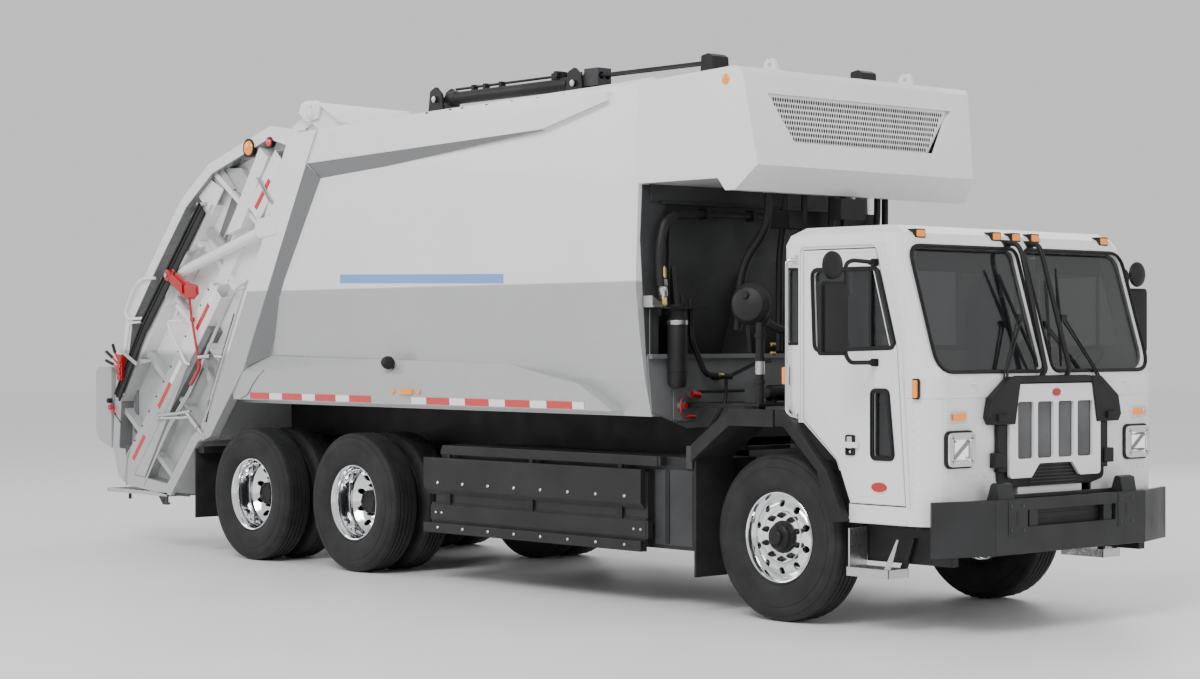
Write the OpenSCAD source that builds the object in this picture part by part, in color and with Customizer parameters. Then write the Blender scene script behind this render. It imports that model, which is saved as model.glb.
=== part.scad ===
// Rear-loading garbage truck: low cab-over chassis with three axles, a packer body with
// a roof pod behind the cab, and a tailgate that carries the hopper and the packing gear.
// Millimetres, +X forward, +Y to the truck's left, +Z up, the ground at z = 0.
// Inside the modules x is measured from the front axle; place() moves it to the origin,
// which is the middle of the overall length, on the ground.

/* [Overall] */
// Front axle to the bumper's face
front_overhang = 1498; // [1480:1:1520]
// Front axle to the rearmost face of the hopper boxes
rear_reach = 8452; // [8440:1:8470]

/* [Wheels and axles] */
// Radius of every tyre
tyre_r = 548; // [540:1:552]
// Width of a front tyre
front_tyre_w = 290; // [270:5:300]
// Width of a rear tyre
rear_tyre_w = 276; // [260:2:284]
// Front axle to the first drive axle
drive_axle_1 = 4561; // [4500:1:4600]
// Front axle to the second drive axle
drive_axle_2 = 5976; // [5940:1:6000]
// Middle of a front tyre from the centre line
front_track_y = 1030; // [1010:5:1040]
// Middle of an outer rear tyre from the centre line
outer_track_y = 1078; // [1070:1:1082]
// Distance between the tyres of a pair
pair_pitch = 336; // [330:2:350]
// Kingpin from the centre line
kingpin_y = 905; // [890:5:910]

/* [Frame] */
// Outer face of a frame rail from the centre line
rail_y = 432; // [425:1:435]
// Top of the frame rails
rail_top = 1012; // [1000:1:1020]
// Height of a frame rail
rail_h = 268; // [250:2:280]

/* [Cab] */
// Half the width of the cab
cab_half = 1190; // [1185:1:1195]
// Thickness of the cab's walls and doors
wall = 50; // [45:1:55]

/* [Packer body] */
// Half the width of the side panels under the roof
body_half = 1165; // [1160:1:1170]
// Half the width where the side panels bulge most
body_outer = 1220; // [1215:1:1222]
// Underside of the body's floor
body_z0 = 1300; // [1295:1:1305]
// Plate thickness of body and tailgate
plate = 30; // [24:2:36]

/* [Hidden] */
$fn = 48;
eps = 0.5;
gap = 8;                       // running gap round a door
front_axle_x = (rear_reach - front_overhang) / 2;
wheel_z = tyre_r;
rim_r = 298;                   // outside of the rim's lip
seat_r = 288;                  // bead seat, where tyre meets rim
cab_rear_x = 80;
cab_front_x = 1310;
cab_roof_z = 2550;
cab_belt_z = 1600;             // above this the front leans back
lean = 0.304;                  // how far the windshield leans back for each millimetre up
tunnel_half = 446;             // engine tunnel, inside
tunnel_z = 1480;
body_x0 = -1270;               // front end of the body
roof_front_z = 3600;
roof_rear_z = 3530;
body_taper = 100;              // how far the side panels run inward towards the rear
shut_top = [-5290, 3550];      // line where body and tailgate meet
shut_slope = 0.54;
hinge = [-5397, 3685];         // tailgate hinge
pin_body = [-5815, 2742];      // lift cylinder on the body
pin_gate = [-7169, 2395];      // lift cylinder on the tailgate
track_dir = [-0.643, -0.766];  // the carriage runs down and back along this
blade_pivot = [-6768, 2105];
blade_stroke = 700;
hopper_r = 990;

// ---------- helpers ----------

function unit(v) = v / norm(v);

// The points of a rounded corner at p, between its neighbours a and b.
function corner(a, p, b, r, n) =
    let (u = unit(a - p), v = unit(b - p), half = acos(u * v) / 2,
         c = p + unit(u + v) * r / sin(half),
         s = p + u * r / tan(half) - c, e = p + v * r / tan(half) - c,
         a0 = atan2(s[1], s[0]), d = atan2(e[1], e[0]) - a0,
         turn = d > 180 ? d - 360 : d < -180 ? d + 360 : d)
    [for (i = [0:n]) c + r * [cos(a0 + turn * i / n), sin(a0 + turn * i / n)]];

// A closed outline whose corner i is rounded to radii[i], or left sharp at 0.
function rounded(pts, radii, n = 5) =
    let (k = len(pts))
    [for (i = [0:k - 1], q = radii[i] > 0
        ? corner(pts[(i + k - 1) % k], pts[i], pts[(i + 1) % k], radii[i], n)
        : [pts[i]]) q];

function arc(c, r, a0, a1, n) = [for (i = [0:n]) c + r * [cos(a0 + (a1 - a0) * i / n),
    sin(a0 + (a1 - a0) * i / n)]];
function turned(v, a) = [v[0] * cos(a) - v[1] * sin(a), v[0] * sin(a) + v[1] * cos(a)];
function shut_x(z) = shut_top[0] - (shut_top[1] - z) * shut_slope;
function front_x(z) = cab_front_x - max(0, z - cab_belt_z) * lean;

module place() {
    translate([front_axle_x, 0, 0]) children();
}
module both_sides() {
    children();
    mirror([0, 1, 0]) children();
}
module block(x0, x1, y0, y1, z0, z1) {
    translate([min(x0, x1), min(y0, y1), min(z0, z1)]) cube([abs(x1 - x0), abs(y1 - y0), abs(z1 - z0)]);
}
// A side-view outline (x, z) from y0 to y1.
module side_plate(pts, y0, y1) {
    translate([0, max(y0, y1), 0]) rotate([90, 0, 0]) linear_extrude(abs(y1 - y0)) polygon(pts);
}
// A front-view outline (y, z) from x0 to x1.
module front_plate(pts, x0, x1) {
    translate([min(x0, x1), 0, 0]) rotate([90, 0, 90]) linear_extrude(abs(x1 - x0)) polygon(pts);
}
// A plan-view outline (x, y) from z0 to z1.
module plan_plate(pts, z0, z1) {
    translate([0, 0, z0]) linear_extrude(z1 - z0) polygon(pts);
}
module rod(a, b, r) {
    d = b - a;
    translate(a) rotate([0, acos(d[2] / norm(d)), atan2(d[1], d[0])]) cylinder(r = r, h = norm(d));
}
// A bent tube: straight rods with balls at the bends.
module tube(pts, r) {
    for (i = [0:len(pts) - 2]) rod(pts[i], pts[i + 1], r);
    for (i = [1:len(pts) - 2]) translate(pts[i]) sphere(r = r * 1.06);
}
module cross_rod(x, z, r, y0, y1) {
    translate([x, max(y0, y1), z]) rotate([90, 0, 0]) cylinder(r = r, h = abs(y1 - y0));
}

// ---------- wheels ----------

// A wheel part turned about +Y: its profile is (radius, y from the tyre's middle, outward +).
module turned_profile(pts) {
    rotate([90, 0, 0]) rotate_extrude($fn = 96) polygon([for (p = pts) [p[0], -p[1]]]);
}

function tyre_profile(w) = let (h = w / 2) concat(
    [[seat_r, -h + 42], [300, -h + 26], [372, -h + 4], [440, -h], [505, -h + 10]],
    [[535, -h + 26], [tyre_r, -h + 50], [tyre_r, h - 50], [535, h - 26]],
    [[505, h - 10], [440, h], [372, h - 4], [300, h - 26], [seat_r, h - 42]]);
module tyre(w) {
    turned_profile(tyre_profile(w));
}

// The rim's ring, from the bead seats in to the well.
function rim_ring(w) = let (h = w / 2 - 42) [
    [rim_r - 12, -h - 4], [seat_r, -h], [seat_r, h], [rim_r - 12, h + 4],
    [272, h + 4], [262, h - 12], [262, -h + 12], [272, -h - 4]];

module front_wheel() {
    h = front_tyre_w / 2 - 42;
    difference() {
        union() {
            turned_profile(rim_ring(front_tyre_w));
            turned_profile([[0, h - 50], [150, h - 50], [215, h - 22], [264, h - 60],
                            [264, h - 36], [215, h - 2], [150, h - 28], [0, h - 28]]);
            rotate([-90, 0, 0]) cylinder(r = 82, h = h + 40);
            rotate([-90, 0, 0]) cylinder(r = 52, h = h + 62);
        }
        for (i = [0:9]) rotate([0, 36 * i + 18, 0]) translate([222, -h, 0]) rotate([-90, 0, 0])
            cylinder(r = 20, h = 3 * h);
        rotate([-90, 0, 0]) translate([0, 0, -10]) cylinder(r = 40, h = 60);
    }
}

// Two rims back to back on one hub; y = 0 is the middle of the outer tyre.
module pair_of_wheels() {
    h = rear_tyre_w / 2 - 42;
    mid = -pair_pitch / 2;
    difference() {
        union() {
            turned_profile(rim_ring(rear_tyre_w));
            translate([0, -pair_pitch, 0]) turned_profile(rim_ring(rear_tyre_w));
            turned_profile([[0, mid - 18], [170, mid - 18], [265, mid - 105], [265, mid - 75],
                            [190, mid], [265, mid + 75], [265, mid + 105], [170, mid + 18],
                                [0, mid + 18]]);
            translate([0, mid, 0]) rotate([-90, 0, 0]) cylinder(r = 135, h = 90);
            translate([0, mid, 0]) rotate([-90, 0, 0]) cylinder(r = 90, h = 160);
        }
        for (i = [0:9]) rotate([0, 36 * i, 0]) translate([215, mid - 150, 0]) rotate([-90, 0, 0])
            cylinder(r = 20, h = 300);
        translate([0, mid - 60, 0]) rotate([-90, 0, 0]) cylinder(r = 62, h = 70);
    }
}

module at_wheel(x, y, side) {
    translate([x, side * y, wheel_z]) scale_side(side) children();
}
module scale_side(side) {
    mirror([0, side > 0 ? 0 : 1, 0]) children();
}

module tyre_front(side) {
    color("dimgray") at_wheel(0, front_track_y, side) tyre(front_tyre_w);
}
module wheel_front(side) {
    color("gainsboro") at_wheel(0, front_track_y, side) front_wheel();
}
module tyres_drive(x, side) {
    color("dimgray") at_wheel(x, outer_track_y, side) {
        tyre(rear_tyre_w);
        translate([0, -pair_pitch, 0]) tyre(rear_tyre_w);
    }
}
module wheels_drive(x, side) {
    color("gainsboro") at_wheel(x, outer_track_y, side) pair_of_wheels();
}

// ---------- chassis ----------

module chassis_frame() {
    color("#1c1c1e") union() {
        both_sides() difference() {
            block(-6560, 1304, 342, rail_y, rail_top - rail_h, rail_top);
            block(-6600, 1400, 300, rail_y - 12, rail_top - rail_h + 12, rail_top - 12);
        }
        for (x = [-6540, -5270, -3900, -2600, -1500, 1130])
            block(x, x + 80, -rail_y + 8, rail_y - 8, rail_top - rail_h + 120, rail_top - 30);
    }
}

function bumper_line(d) = [
    [1358 - d, -1223 + d * 0.6], [front_overhang - d, -783 + d * 0.2],
    [front_overhang - d, 783 - d * 0.2], [1358 - d, 1223 - d * 0.6]];
module front_bumper() {
    line = concat(bumper_line(0), [for (i = [3:-1:0]) bumper_line(24)[i]]);
    color("#2a2b2d") difference() {
        union() {
            plan_plate(line, 500, 843);
            plan_plate(concat(bumper_line(0), [[1345, 1150], [1345, -1150]]), 812, 836);
            // ends that run back behind the corners
            both_sides() block(1335, 1362, 1000, 1210, 500, 830);
            // brackets to the frame rails
            both_sides() block(1305, 1480, 345, 432, 600, 812);
            // guard plates that rise behind the bumper's top edge
            both_sides() side_plate([[1368, 836], [1470, 836], [1450, 935], [1410, 945], [1396, 930]],
                567, 720);
            block(1374, 1384, -570, 570, 836, 862);
        }
        block(1440, 1520, -460, 460, 668, 770);
    }
}

module engine_block() {
    color("#3a3c3f") union() {
        block(-620, 640, -320, 320, 640, 1400);
        block(-1150, -619, -230, 230, 640, 1080);
    }
    color("#2b2c2e") block(1000, 1120, -330, 330, 700, 1400);
}

module front_axle() {
    color("#242527") union() {
        block(-55, 55, -720, 720, 395, 500);
        both_sides() side_axle_end();
        // leaf springs and their seats
        both_sides() {
            block(-640, 640, 345, 430, 560, 640);
            block(-90, 90, 340, 436, 500, 561);
            block(-660, -600, 350, 425, 600, 743);
            block(600, 660, 350, 425, 600, 743);
        }
    }
}
module side_axle_end() {
    hull() {
        block(-55, 55, 700, 720, 395, 500);
        block(-45, 45, 830, 840, 470, 560);
    }
    translate([0, kingpin_y - 30, 430]) cylinder(r = 48, h = 200);
    block(-45, 45, 825, kingpin_y - 30, 470, 560);
}

// Steering knuckle: a yoke round the axle's end and a spindle into the hub.
module knuckle(side) {
    color("#303234") scale_side(side) difference() {
        union() {
            translate([0, kingpin_y - 30, 340]) cylinder(r = 44, h = 84);
            translate([0, kingpin_y - 30, 636]) cylinder(r = 44, h = 84);
            block(-45, 45, kingpin_y + 25, kingpin_y + 62, 345, 715);
            block(-40, 40, kingpin_y - 30, kingpin_y + 30, 345, 423);
            block(-40, 40, kingpin_y - 30, kingpin_y + 30, 637, 715);
            translate([0, kingpin_y + 50, wheel_z]) rotate([-90, 0, 0]) cylinder(r = 39.95, h = 110);
        }
    }
}

module drive_axles() {
    color("#242527") {
        for (x = [-drive_axle_1, -drive_axle_2]) union() {
            cross_rod(x, wheel_z, 61.95, -900, 900);
            translate([x, 0, wheel_z]) sphere(r = 225);
            translate([x + 60, 0, wheel_z + 40]) rotate([0, 90, 0]) cylinder(r = 110, h = 260);
        }
        rod([-1158, 0, 800], [-drive_axle_1 + 321, 0, wheel_z + 40], 58);
        rod([-drive_axle_1 - 226, 0, wheel_z + 40], [-drive_axle_2 + 321, 0, wheel_z + 40], 50);
    }
}

// Walking beams and saddles under the rails.
module rear_suspension() {
    mid = -(drive_axle_1 + drive_axle_2) / 2;
    color("#242527") both_sides() difference() {
        union() {
            hull() {
                cross_rod(-drive_axle_1, 400, 70, 400, 500);
                cross_rod(mid, 400, 105, 400, 500);
            }
            hull() {
                cross_rod(-drive_axle_2, 400, 70, 400, 500);
                cross_rod(mid, 400, 105, 400, 500);
            }
            side_plate([[mid - 230, 744], [mid + 230, 744], [mid + 120, 420], [mid - 120, 420]], 405,
                495);
            for (x = [-drive_axle_1, -drive_axle_2]) block(x - 50, x + 50, 410, 490, 440, 486);
        }
    }
}

// Formed guard rails along both sides between the axles, on the boxes behind them.
module side_guards() {
    color("#3c3d3f") both_sides() union() {
        block(-3450, -1100, 1090, 1150, 972, 1032);
        side_plate_band();
        block(-3585, -1208, 1120, 1165, 464, 588);
        block(-3660, -1256, 1150, 1190, 374, 448);
        block(-3600, -1240, 1145, 1155, 374, 600);
    }
    color("#161617") both_sides() union() {
        block(-3560, -692, 640, 1092, 400, 1030);
        block(-3400, -692, 433, 645, 780, 980);
        block(-3560, -1230, 1090, 1146, 420, 920);
    }
}
module side_plate_band() {
    front_plate([[1145, 940], [1190, 940], [1190, 720], [1150, 662], [1130, 662], [1145, 760]], -3660,
        -1256);
}

// Frame-mounted rear half of each front mudguard, with its flap, and the rear flaps.
module mudguards() {
    color("#232425") both_sides() union() {
        side_plate(guard_band([[62, 1282], [-340, 1282], [-672, 1040]], 22), 880, 1235);
        side_plate(concat([[62, 1380], [-330, 1380], [-690, 1130], [-690, 1020]],
            [[-340, 1268], [62, 1268]]), 1235, 1262);
        block(-640, -560, 433, 885, 1085, 1110);
        block(-640, -560, 862, 885, 1085, 1130);
        block(-686, -668, 880, 1235, 244, 1062);
    }
    color("#1b1b1c") both_sides() union() {
        block(-6806, -6790, 600, 1200, 308, 900);
        block(-6790, -6700, 620, 1180, 860, 915);
        block(-6700, -6560, 620, 700, 840, 915);
        block(-6580, -6530, 433, 700, 840, 915);
    }
}
// A bent strip of thickness t whose lower face follows three points.
function guard_band(p, t) =
    let (n0 = unit([-(p[1] - p[0])[1], (p[1] - p[0])[0]]), n1 = unit([-(p[2] - p[1])[1],
        (p[2] - p[1])[0]]),
         m = unit(n0 + n1))
    [p[0], p[1], p[2], p[2] - n1 * t, p[1] - m * t / (m * n0), p[0] - n0 * t];

// Entry steps under the doors and the black boxes that carry them.
module entry_steps() {
    color("#c9cbcd") both_sides() union() {
        block(640, 990, 1013, 1205, 350, 408);
        block(640, 660, 1011, 1190, 400, 650);
        side_plate([[935, 400], [990, 400], [1060, 600], [1035, 600]], 1011, 1190);
    }
    color("#1f2021") both_sides() union() {
        block(640, 1334, 940, 1012, 430, 660);
        block(1200, 1330, 432, 945, 560, 640);
    }
}

// ---------- packer body ----------

module body_subframe() {
    color("#242527") {
        both_sides() block(-6480, -1290, 350, 426, rail_top + 1, body_z0 - 1);
        for (x = [-6300, -5300, -4300, -3300, -2300, -1320])
            block(x, x + 80, -349, 349, rail_top + 120, body_z0 - 1);
    }
}

// Half of the body's cross-section (y, z), moved in by d.
function body_side(d) = [
    [body_half - d, 3700], [1176 - d, 2909], [1196 - d, 2586], [body_outer - d, 2330],
    [body_outer - d, 2180], [1180 - d, 1832], [1135 - d, 1557], [1070 - d, body_z0 - eps]];
function mirrored(h) = concat(h, [for (i = [len(h) - 1:-1:0]) [-h[i][0], h[i][1]]]);
// The body's side outline, moved in by d at the roof.
function body_outline(d) = [
    [body_x0, body_z0 - 1], [shut_x(body_z0 - 1), body_z0 - 1],
    [shut_x(roof_rear_z - d), roof_rear_z - d], [body_x0, roof_front_z - d]];
// The side panels run inward towards the rear, where the posts stand proud of them.
module body_hull(d) {
    intersection() {
        hull() {
            front_plate(mirrored(body_side(d)), body_x0 - 1, body_x0);
            front_plate(mirrored(body_side(d + body_taper)), -6800, -6799);
        }
        side_plate(body_outline(d), -1300, 1300);
    }
}
// Sloping faces between the rear post, the upper band and the recessed side panel.
module post_chamfer() {
    hull() {
        side_plate([[-5160, 3250], [-6050, 1607], [-6090, 1607], [-5200, 3250]], 1205, 1212);
        side_plate([[-5080, 3110], [-5840, 1700], [-6090, 1607], [-5200, 3250]], 1060, 1100);
    }
    hull() {
        side_plate([[-5180, 3250], [-2271, 3340], [-2271, 3350], [-5180, 3290]], 1195, 1200);
        side_plate([[-5080, 3110], [-2271, 3338], [-2271, 3350], [-5180, 3290]], 1060, 1100);
    }
}
// The rear post beside the tailgate, from the roof down below the floor.
module rear_post() {
    side_plate([[-5160, 3250], [-5010, 3510], [shut_x(3510), 3510], [shut_x(965), 965],
                [shut_x(965) + 130, 1010], [-6040, 1607]], 1120, 1212);
}
module body_shell() {
    color("#f2f2f0") difference() {
        union() {
            body_hull(0);
            both_sides() {
                rear_post();
                post_chamfer();
                // upper band that tapers forward
                side_plate([[-5180, 3250], [-2271, 3340], [-1587, 3495], [-1587, 3560],
                    [-5180, 3505]], 1120, 1200);
                // skirt along the lower edge
                difference() {
                    front_plate([[1020, 1333], [1192, 1333], [1206, 1565], [1085, 1700],
                        [1020, 1700]], -6230, -1545);
                    side_plate([[-1400, 1300], [-1400, 1800], [-2960, 1800], [-2960, 1692],
                        [-1880, 1520], [-1540, 1335]], 1000, 1300);
                }
                // roof rails
                side_plate([[-5000, 3525], [-1270, 3590], [-1270, 3645], [-1620, 3630],
                    [-4900, 3560]], 940, 1040);
                // hinge ears
                side_plate([[-4768, 3520], [-5270, 3520], [-5440, 3625], [-5470, 3700], [-5430, 3775],
                    [-5340, 3775]], 868, 896);
                side_plate([[-4768, 3520], [-5270, 3520], [-5440, 3625], [-5470, 3700], [-5430, 3775],
                    [-5340, 3775]], 944, 972);
                // lugs and pins of the lift cylinders
                side_plate([[-5870, 2790], [-5800, 2830], [-5600, 2860], [-5560, 2700], [-5800, 2670],
                    [-5865, 2700]], 1211, 1221);
                cross_rod(pin_body[0], pin_body[1], 22, 1120, 1216);
            }
        }
        difference() {
            union() {
                body_hull(plate);
                translate([-100, 0, 0]) body_hull(plate);
            }
            block(-1250, -1300, -1300, 1300, 1200, 3700);
            block(-6900, -1200, -1300, 1300, 1200, body_z0 + plate);
        }
        // openings in the front wall: behind the pod, and below it where the ejector shows
        block(-1200, -1400, -900, 900, 2960, 3480);
        block(-1200, -1400, -1010, 1010, 1640, 2790);
        both_sides() cross_rod(hinge[0], hinge[1], 24, 860, 980);
    }
}

// Sloping housing that stands ahead of the body above the cab's rear edge.
module roof_pod() {
    side = [[body_x0 + 1, 2905], [-500, 2905], [-430, 2821], [-350, 2821], [-213, 2986], [-302, 3600],
        [-345, 3640], [body_x0 + 1, 3600]];
    inner = [[body_x0 - 9, 2945], [-485, 2945], [-415, 2861], [-375, 2861], [-258, 2996],
        [-345, 3590], [body_x0 - 9, 3560]];
    plan = rounded([[body_x0 + 1, -1200], [-360, -1200], [-150, -1080], [-150, 1080], [-360, 1200],
        [body_x0 + 1, 1200]],
                   [0, 60, 0, 0, 60, 0]);
    plan_in = [[body_x0 - 9, -1165], [-380, -1165], [-190, -1060], [-190, 1060], [-380, 1165],
        [body_x0 - 9, 1165]];
    color("#f2f2f0") difference() {
        intersection() {
            side_plate(side, -1210, 1210);
            plan_plate(plan, 2800, 3700);
        }
        intersection() {
            side_plate(inner, -1170, 1170);
            plan_plate(plan_in, 2800, 3700);
        }
        // recess of the grille
        front_plate([[-735, 3150], [735, 3150], [950, 3470], [-950, 3470]], -420, -100);
    }
    color("#f2f2f0") {
        for (y = [-700, 700]) difference() {
            side_plate([[-560, 3629], [-420, 3629], [-440, 3715], [-470, 3735], [-510, 3735],
                [-540, 3715]], y - 12, y + 12);
            cross_rod(-490, 3690, 20, y - 20, y + 20);
        }
        translate([-640, 240, 3628]) difference() {
            cylinder(r = 130, h = 40);
            translate([0, 0, 20]) cylinder(r = 90, h = 40);
        }
    }
}
// Perforated panel in the pod's recess.
module pod_grille() {
    x0 = -302;
    color("#d9dadb") difference() {
        front_plate([[-735, 3150], [735, 3150], [950, 3470], [-950, 3470]], x0 - 20, x0 - 8);
        for (z = [3190:56:3430], y = [-680:80:680]) block(x0 - 40, x0, y - 28, y + 28, z, z + 30);
    }
}

// Frame of the roof cylinder: two rails and brackets that guide the sliding block.
module roof_cylinder() {
    color("#1e1f21") both_sides() union() {
        block(-4100, -3940, 690, 850, 3554, 3790);
        block(-2390, -2250, 690, 850, 3584, 3820);
        block(-1010, -900, 690, 850, 3617, 3800);
        cross_rod_x(-3950, -2380, 770, 3710, 40);
        cross_rod_x(-2260, -1000, 800, 3745, 20);
        cross_rod_x(-2260, -1000, 740, 3745, 20);
    }
}
module cross_rod_x(x0, x1, y, z, r) {
    translate([x0, y, z]) rotate([0, 90, 0]) cylinder(r = r, h = x1 - x0);
}
module roof_slide_block() {
    color("#2b2d2f") both_sides() difference() {
        block(-2230, -2080, 705, 835, 3672, 3800);
        cross_rod_x(-2300, -2000, 800, 3745, 26);
        cross_rod_x(-2300, -2000, 740, 3745, 26);
    }
}

// Filter, canisters, pipes and valve block between cab and body.
module hydraulic_lines() {
    color("#1c1d1f") {
        translate([-1130, -1080, 1640]) cylinder(r = 62, h = 520);
        block(-1268, -1080, -1150, -1020, 2170, 2190);
        translate([-360, -870, 2180]) rotate([0, 90, 0]) cylinder(r = 120, h = 130);
        block(-330, -260, -900, -840, 1400, 2100);
        rod([-1240, -960, 2640], [-240, -960, 2640], 30);
        block(-1268, -1239, -1000, -920, 2600, 2680);
    }
    color("#2a2b2d") union() {
        block(-1268, -900, -850, 850, 1340, 1420);
        block(-1268, -1230, -1000, 1000, 1430, 1620);
        block(-1100, -900, -700, -500, 1410, 1700);
    }
    color("#b3261c") block(-1060, -860, -1060, -900, 1560, 1660);
}

// Ejector: a ribbed blade on a sled that runs the length of the body.
module ejector_panel() {
    color("#35373a") union() {
        intersection() {
            side_plate([[-1800, 1345], [-1760, 1345], [-1420, 2400], [-1420, 3480], [-1460, 3480],
                [-1460, 2400]],
                       -1020, 1020);
            front_plate(mirrored([[960, 1340], [1020, 1620], [1020, 3500]]), -1900, -1300);
        }
        for (y = [-700, 0, 700]) side_plate([[-1790, 1345], [-1330, 1345], [-1330, 1420],
            [-1440, 2400]], y - 20, y + 20);
        both_sides() block(-1790, -1320, 640, 760, 1340, 1420);
        block(-1455, -1400, -1020, 1020, 3300, 3480);
    }
}

// ---------- cab ----------

// Plan outline of the cab at height z, moved in by d.
function cab_plan(z, d) =
    let (f = front_x(z) - d, h = cab_half - d, r = cab_rear_x + d)
    rounded([[r, -h], [f, -h], [f, h], [r, h]], [60 - d / 2, 155 - d, 155 - d, 60 - d / 2], 6);
module cab_slice(z, d, inset) {
    translate([0, 0, z]) linear_extrude(eps) polygon(cab_plan(z, d + inset));
}
module cab_solid(d, z0) {
    plan_plate(cab_plan(1000, d), z0, cab_belt_z + eps);
    hull() {
        cab_slice(cab_belt_z, d, 0);
        cab_slice(2440, d, 0);
    }
    hull() {
        cab_slice(2440, d, 0);
        cab_slice(2500 - d, d, 25);
        cab_slice(cab_roof_z - d, d, 110);
    }
}
// Space under the cab for the wheels and, in the middle, the engine.
module cab_under(d) {
    both_sides() side_plate([[0, 600], [654 + d, 600], [654 + d, 808], [545 + d, 1072],
        [268 + d, 1300 + d], [0, 1300 + d]],
                            tunnel_half + 40 - d, 1300);
    block(0, cab_front_x - wall - 40 + d, -tunnel_half - d, tunnel_half + d, 600, tunnel_z + d);
}
door_line = [[1112, 808], [1046, 1770], [868, 2400], [270, 2400], [270, 1322], [553, 1077], [664, 808]];
window_line = rounded([[1024, 1790], [884, 2268], [345, 2268], [365, 1772]], [30, 30, 40, 40], 4);
low_window = rounded([[1012, 1100], [968, 1510], [850, 1510], [850, 1100]], [25, 25, 25, 25], 4);
// The door's outline grown by g.
function door_grown(g) = [
    [1112 + g, 808 - g], [1046 + g, 1770 + g / 4], [868 + g, 2400 + g], [270 - g, 2400 + g],
    [270 - g, 1322 - g / 2], [553 - g, 1077 - g / 2], [664 - g, 808 - g]];

module cab_walls() {
    difference() {
        cab_solid(0, 685);
        difference() {
            cab_solid(wall, 735);
            cab_under(wall);
        }
        cab_under(0);
        // door openings
        both_sides() side_plate(door_grown(gap), 1060, 1300);
        // windshield, one opening on each side of the divider
        both_sides() front_plate(windshield_line(0), 900, 1400);
        // rear window and rear side windows
        block(0, 200, -560, 560, 1800, 2300);
        both_sides() side_plate(rounded([[118, 1810], [220, 1810], [220, 2280], [118, 2280]],
            [20, 20, 20, 20], 3), 1100, 1300);
        // radiator opening behind the grille
        block(1200, 1400, -380, 380, 1065, 1470);
        // notches for the frame rails
        both_sides() block(1200, 1400, 334, 440, 600, 1032);
        // the front panel ends above the bumper
        block(1100, 1400, -1300, 1300, 600, 686);
    }
}
// Lower part of the cab, with the floor and the engine tunnel.
module cab_shell() {
    color("#f2f2f0") intersection() {
        cab_walls();
        block(-100, 1500, -1300, 1300, 500, cab_belt_z);
    }
}
// Pillars and roof above the belt line.
module cab_top() {
    color("#f2f2f0") intersection() {
        cab_walls();
        block(-100, 1500, -1300, 1300, cab_belt_z, 2700);
    }
}
function windshield_line(d) = rounded(
    [[48 + d, 1640 + d], [1092 - d, 1640 + d], [1092 - d, 2410 - d], [48 + d, 2410 - d]],
        [50, 130, 100, 50]);
module windshield_pane() {
    z0 = 1600;
    z1 = 2450;
    intersection() {
        side_plate([[front_x(z0) - 38, z0], [front_x(z0) - 30, z0], [front_x(z1) - 30, z1],
            [front_x(z1) - 38, z1]], 0, 1200);
        front_plate(windshield_line(1), 900, 1400);
    }
}
module cab_glass() {
    color([0.3, 0.35, 0.38, 0.5]) {
        both_sides() windshield_pane();
        block(100, 108, -559, 559, 1801, 2299);
        both_sides() side_plate(
            rounded([[119, 1811], [219, 1811], [219, 2279], [119, 2279]], [19, 19, 19, 19], 3), 1160, 1168);
    }
}
// The front half of each mudguard rides on the cab.
module cab_fenders() {
    color("#232425") both_sides() {
        side_plate([[74, 1380], [150, 1380], [520, 1010], [672, 690], [535, 680], [440, 1000],
            [150, 1272], [74, 1272]],
                   cab_half + 1, 1262);
    }
}
module grille_panel() {
    line = [[170, 1047], [253, 960], [475, 960], [475, 1350], [388, 1552]];
    color("#f2f2f0") difference() {
        front_plate(mirrored(line), 1338, 1358);
        for (y = [-310, -107, 107, 310]) block(1300, 1400, y - 82, y + 82, 1080, 1440);
    }
}
module grille_surround() {
    color("#1b1c1d") difference() {
        block(1311, 1337, -560, 560, 880, 1575);
        for (y = [-310, -107, 107, 310]) block(1300, 1400, y - 82, y + 82, 1080, 1440);
    }
    color("#1b1c1d") for (y = [-310, -107, 107, 310]) block(1320, 1328, y - 81, y + 81, 1081, 1439);
}
module front_lamps() {
    color("#d8d9da") both_sides() {
        block(1311, 1340, 780, 1035, 1045, 1263);
        block(1311, 1328, 850, 1035, 1317, 1393);
        block(1311, 1345, 765, 805, 1560, 1590);
    }
    color("#e08a1e") for (y = [-960, -200, 0, 200, 960])
        block(front_x(2440) - 60, front_x(2440) - 5, y - 45, y + 45, 2515, 2545);
}
module wipers_and_braces() {
    color("#1a1a1b") {
        both_sides() {
            tube([[1345, 120, 1600], [1378, 120, 1620], [1130, 120, 2435], [1085, 120, 2450]], 14);
            rod([1320, 250, 1630], [1215, 620, 1985], 9);
            rod([1210, 420, 2010], [1230, 830, 1950], 9);
        }
    }
}
module seats() {
    color("#2d2f33") both_sides() union() {
        block(180, 640, 560, 1010, 1402, 1560);
        block(150, 260, 560, 1010, 1500, 2150);
    }
}
module dashboard() {
    color("#2b2c2e") union() {
        block(1000, 1200, -1080, 1080, tunnel_z + wall + 5, 1590);
        both_sides() block(1000, 1200, tunnel_half + wall + 5, 1080, 1360, tunnel_z + wall + 6);
        translate([980, 785, 1560]) rotate([0, -35, 0]) cylinder(r = 34, h = 130);
    }
    color("#1c1c1d") translate([915, 785, 1655]) rotate([0, -35, 0]) rotate_extrude()
        translate([215, 0]) circle(r = 17, $fn = 12);
}

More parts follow.
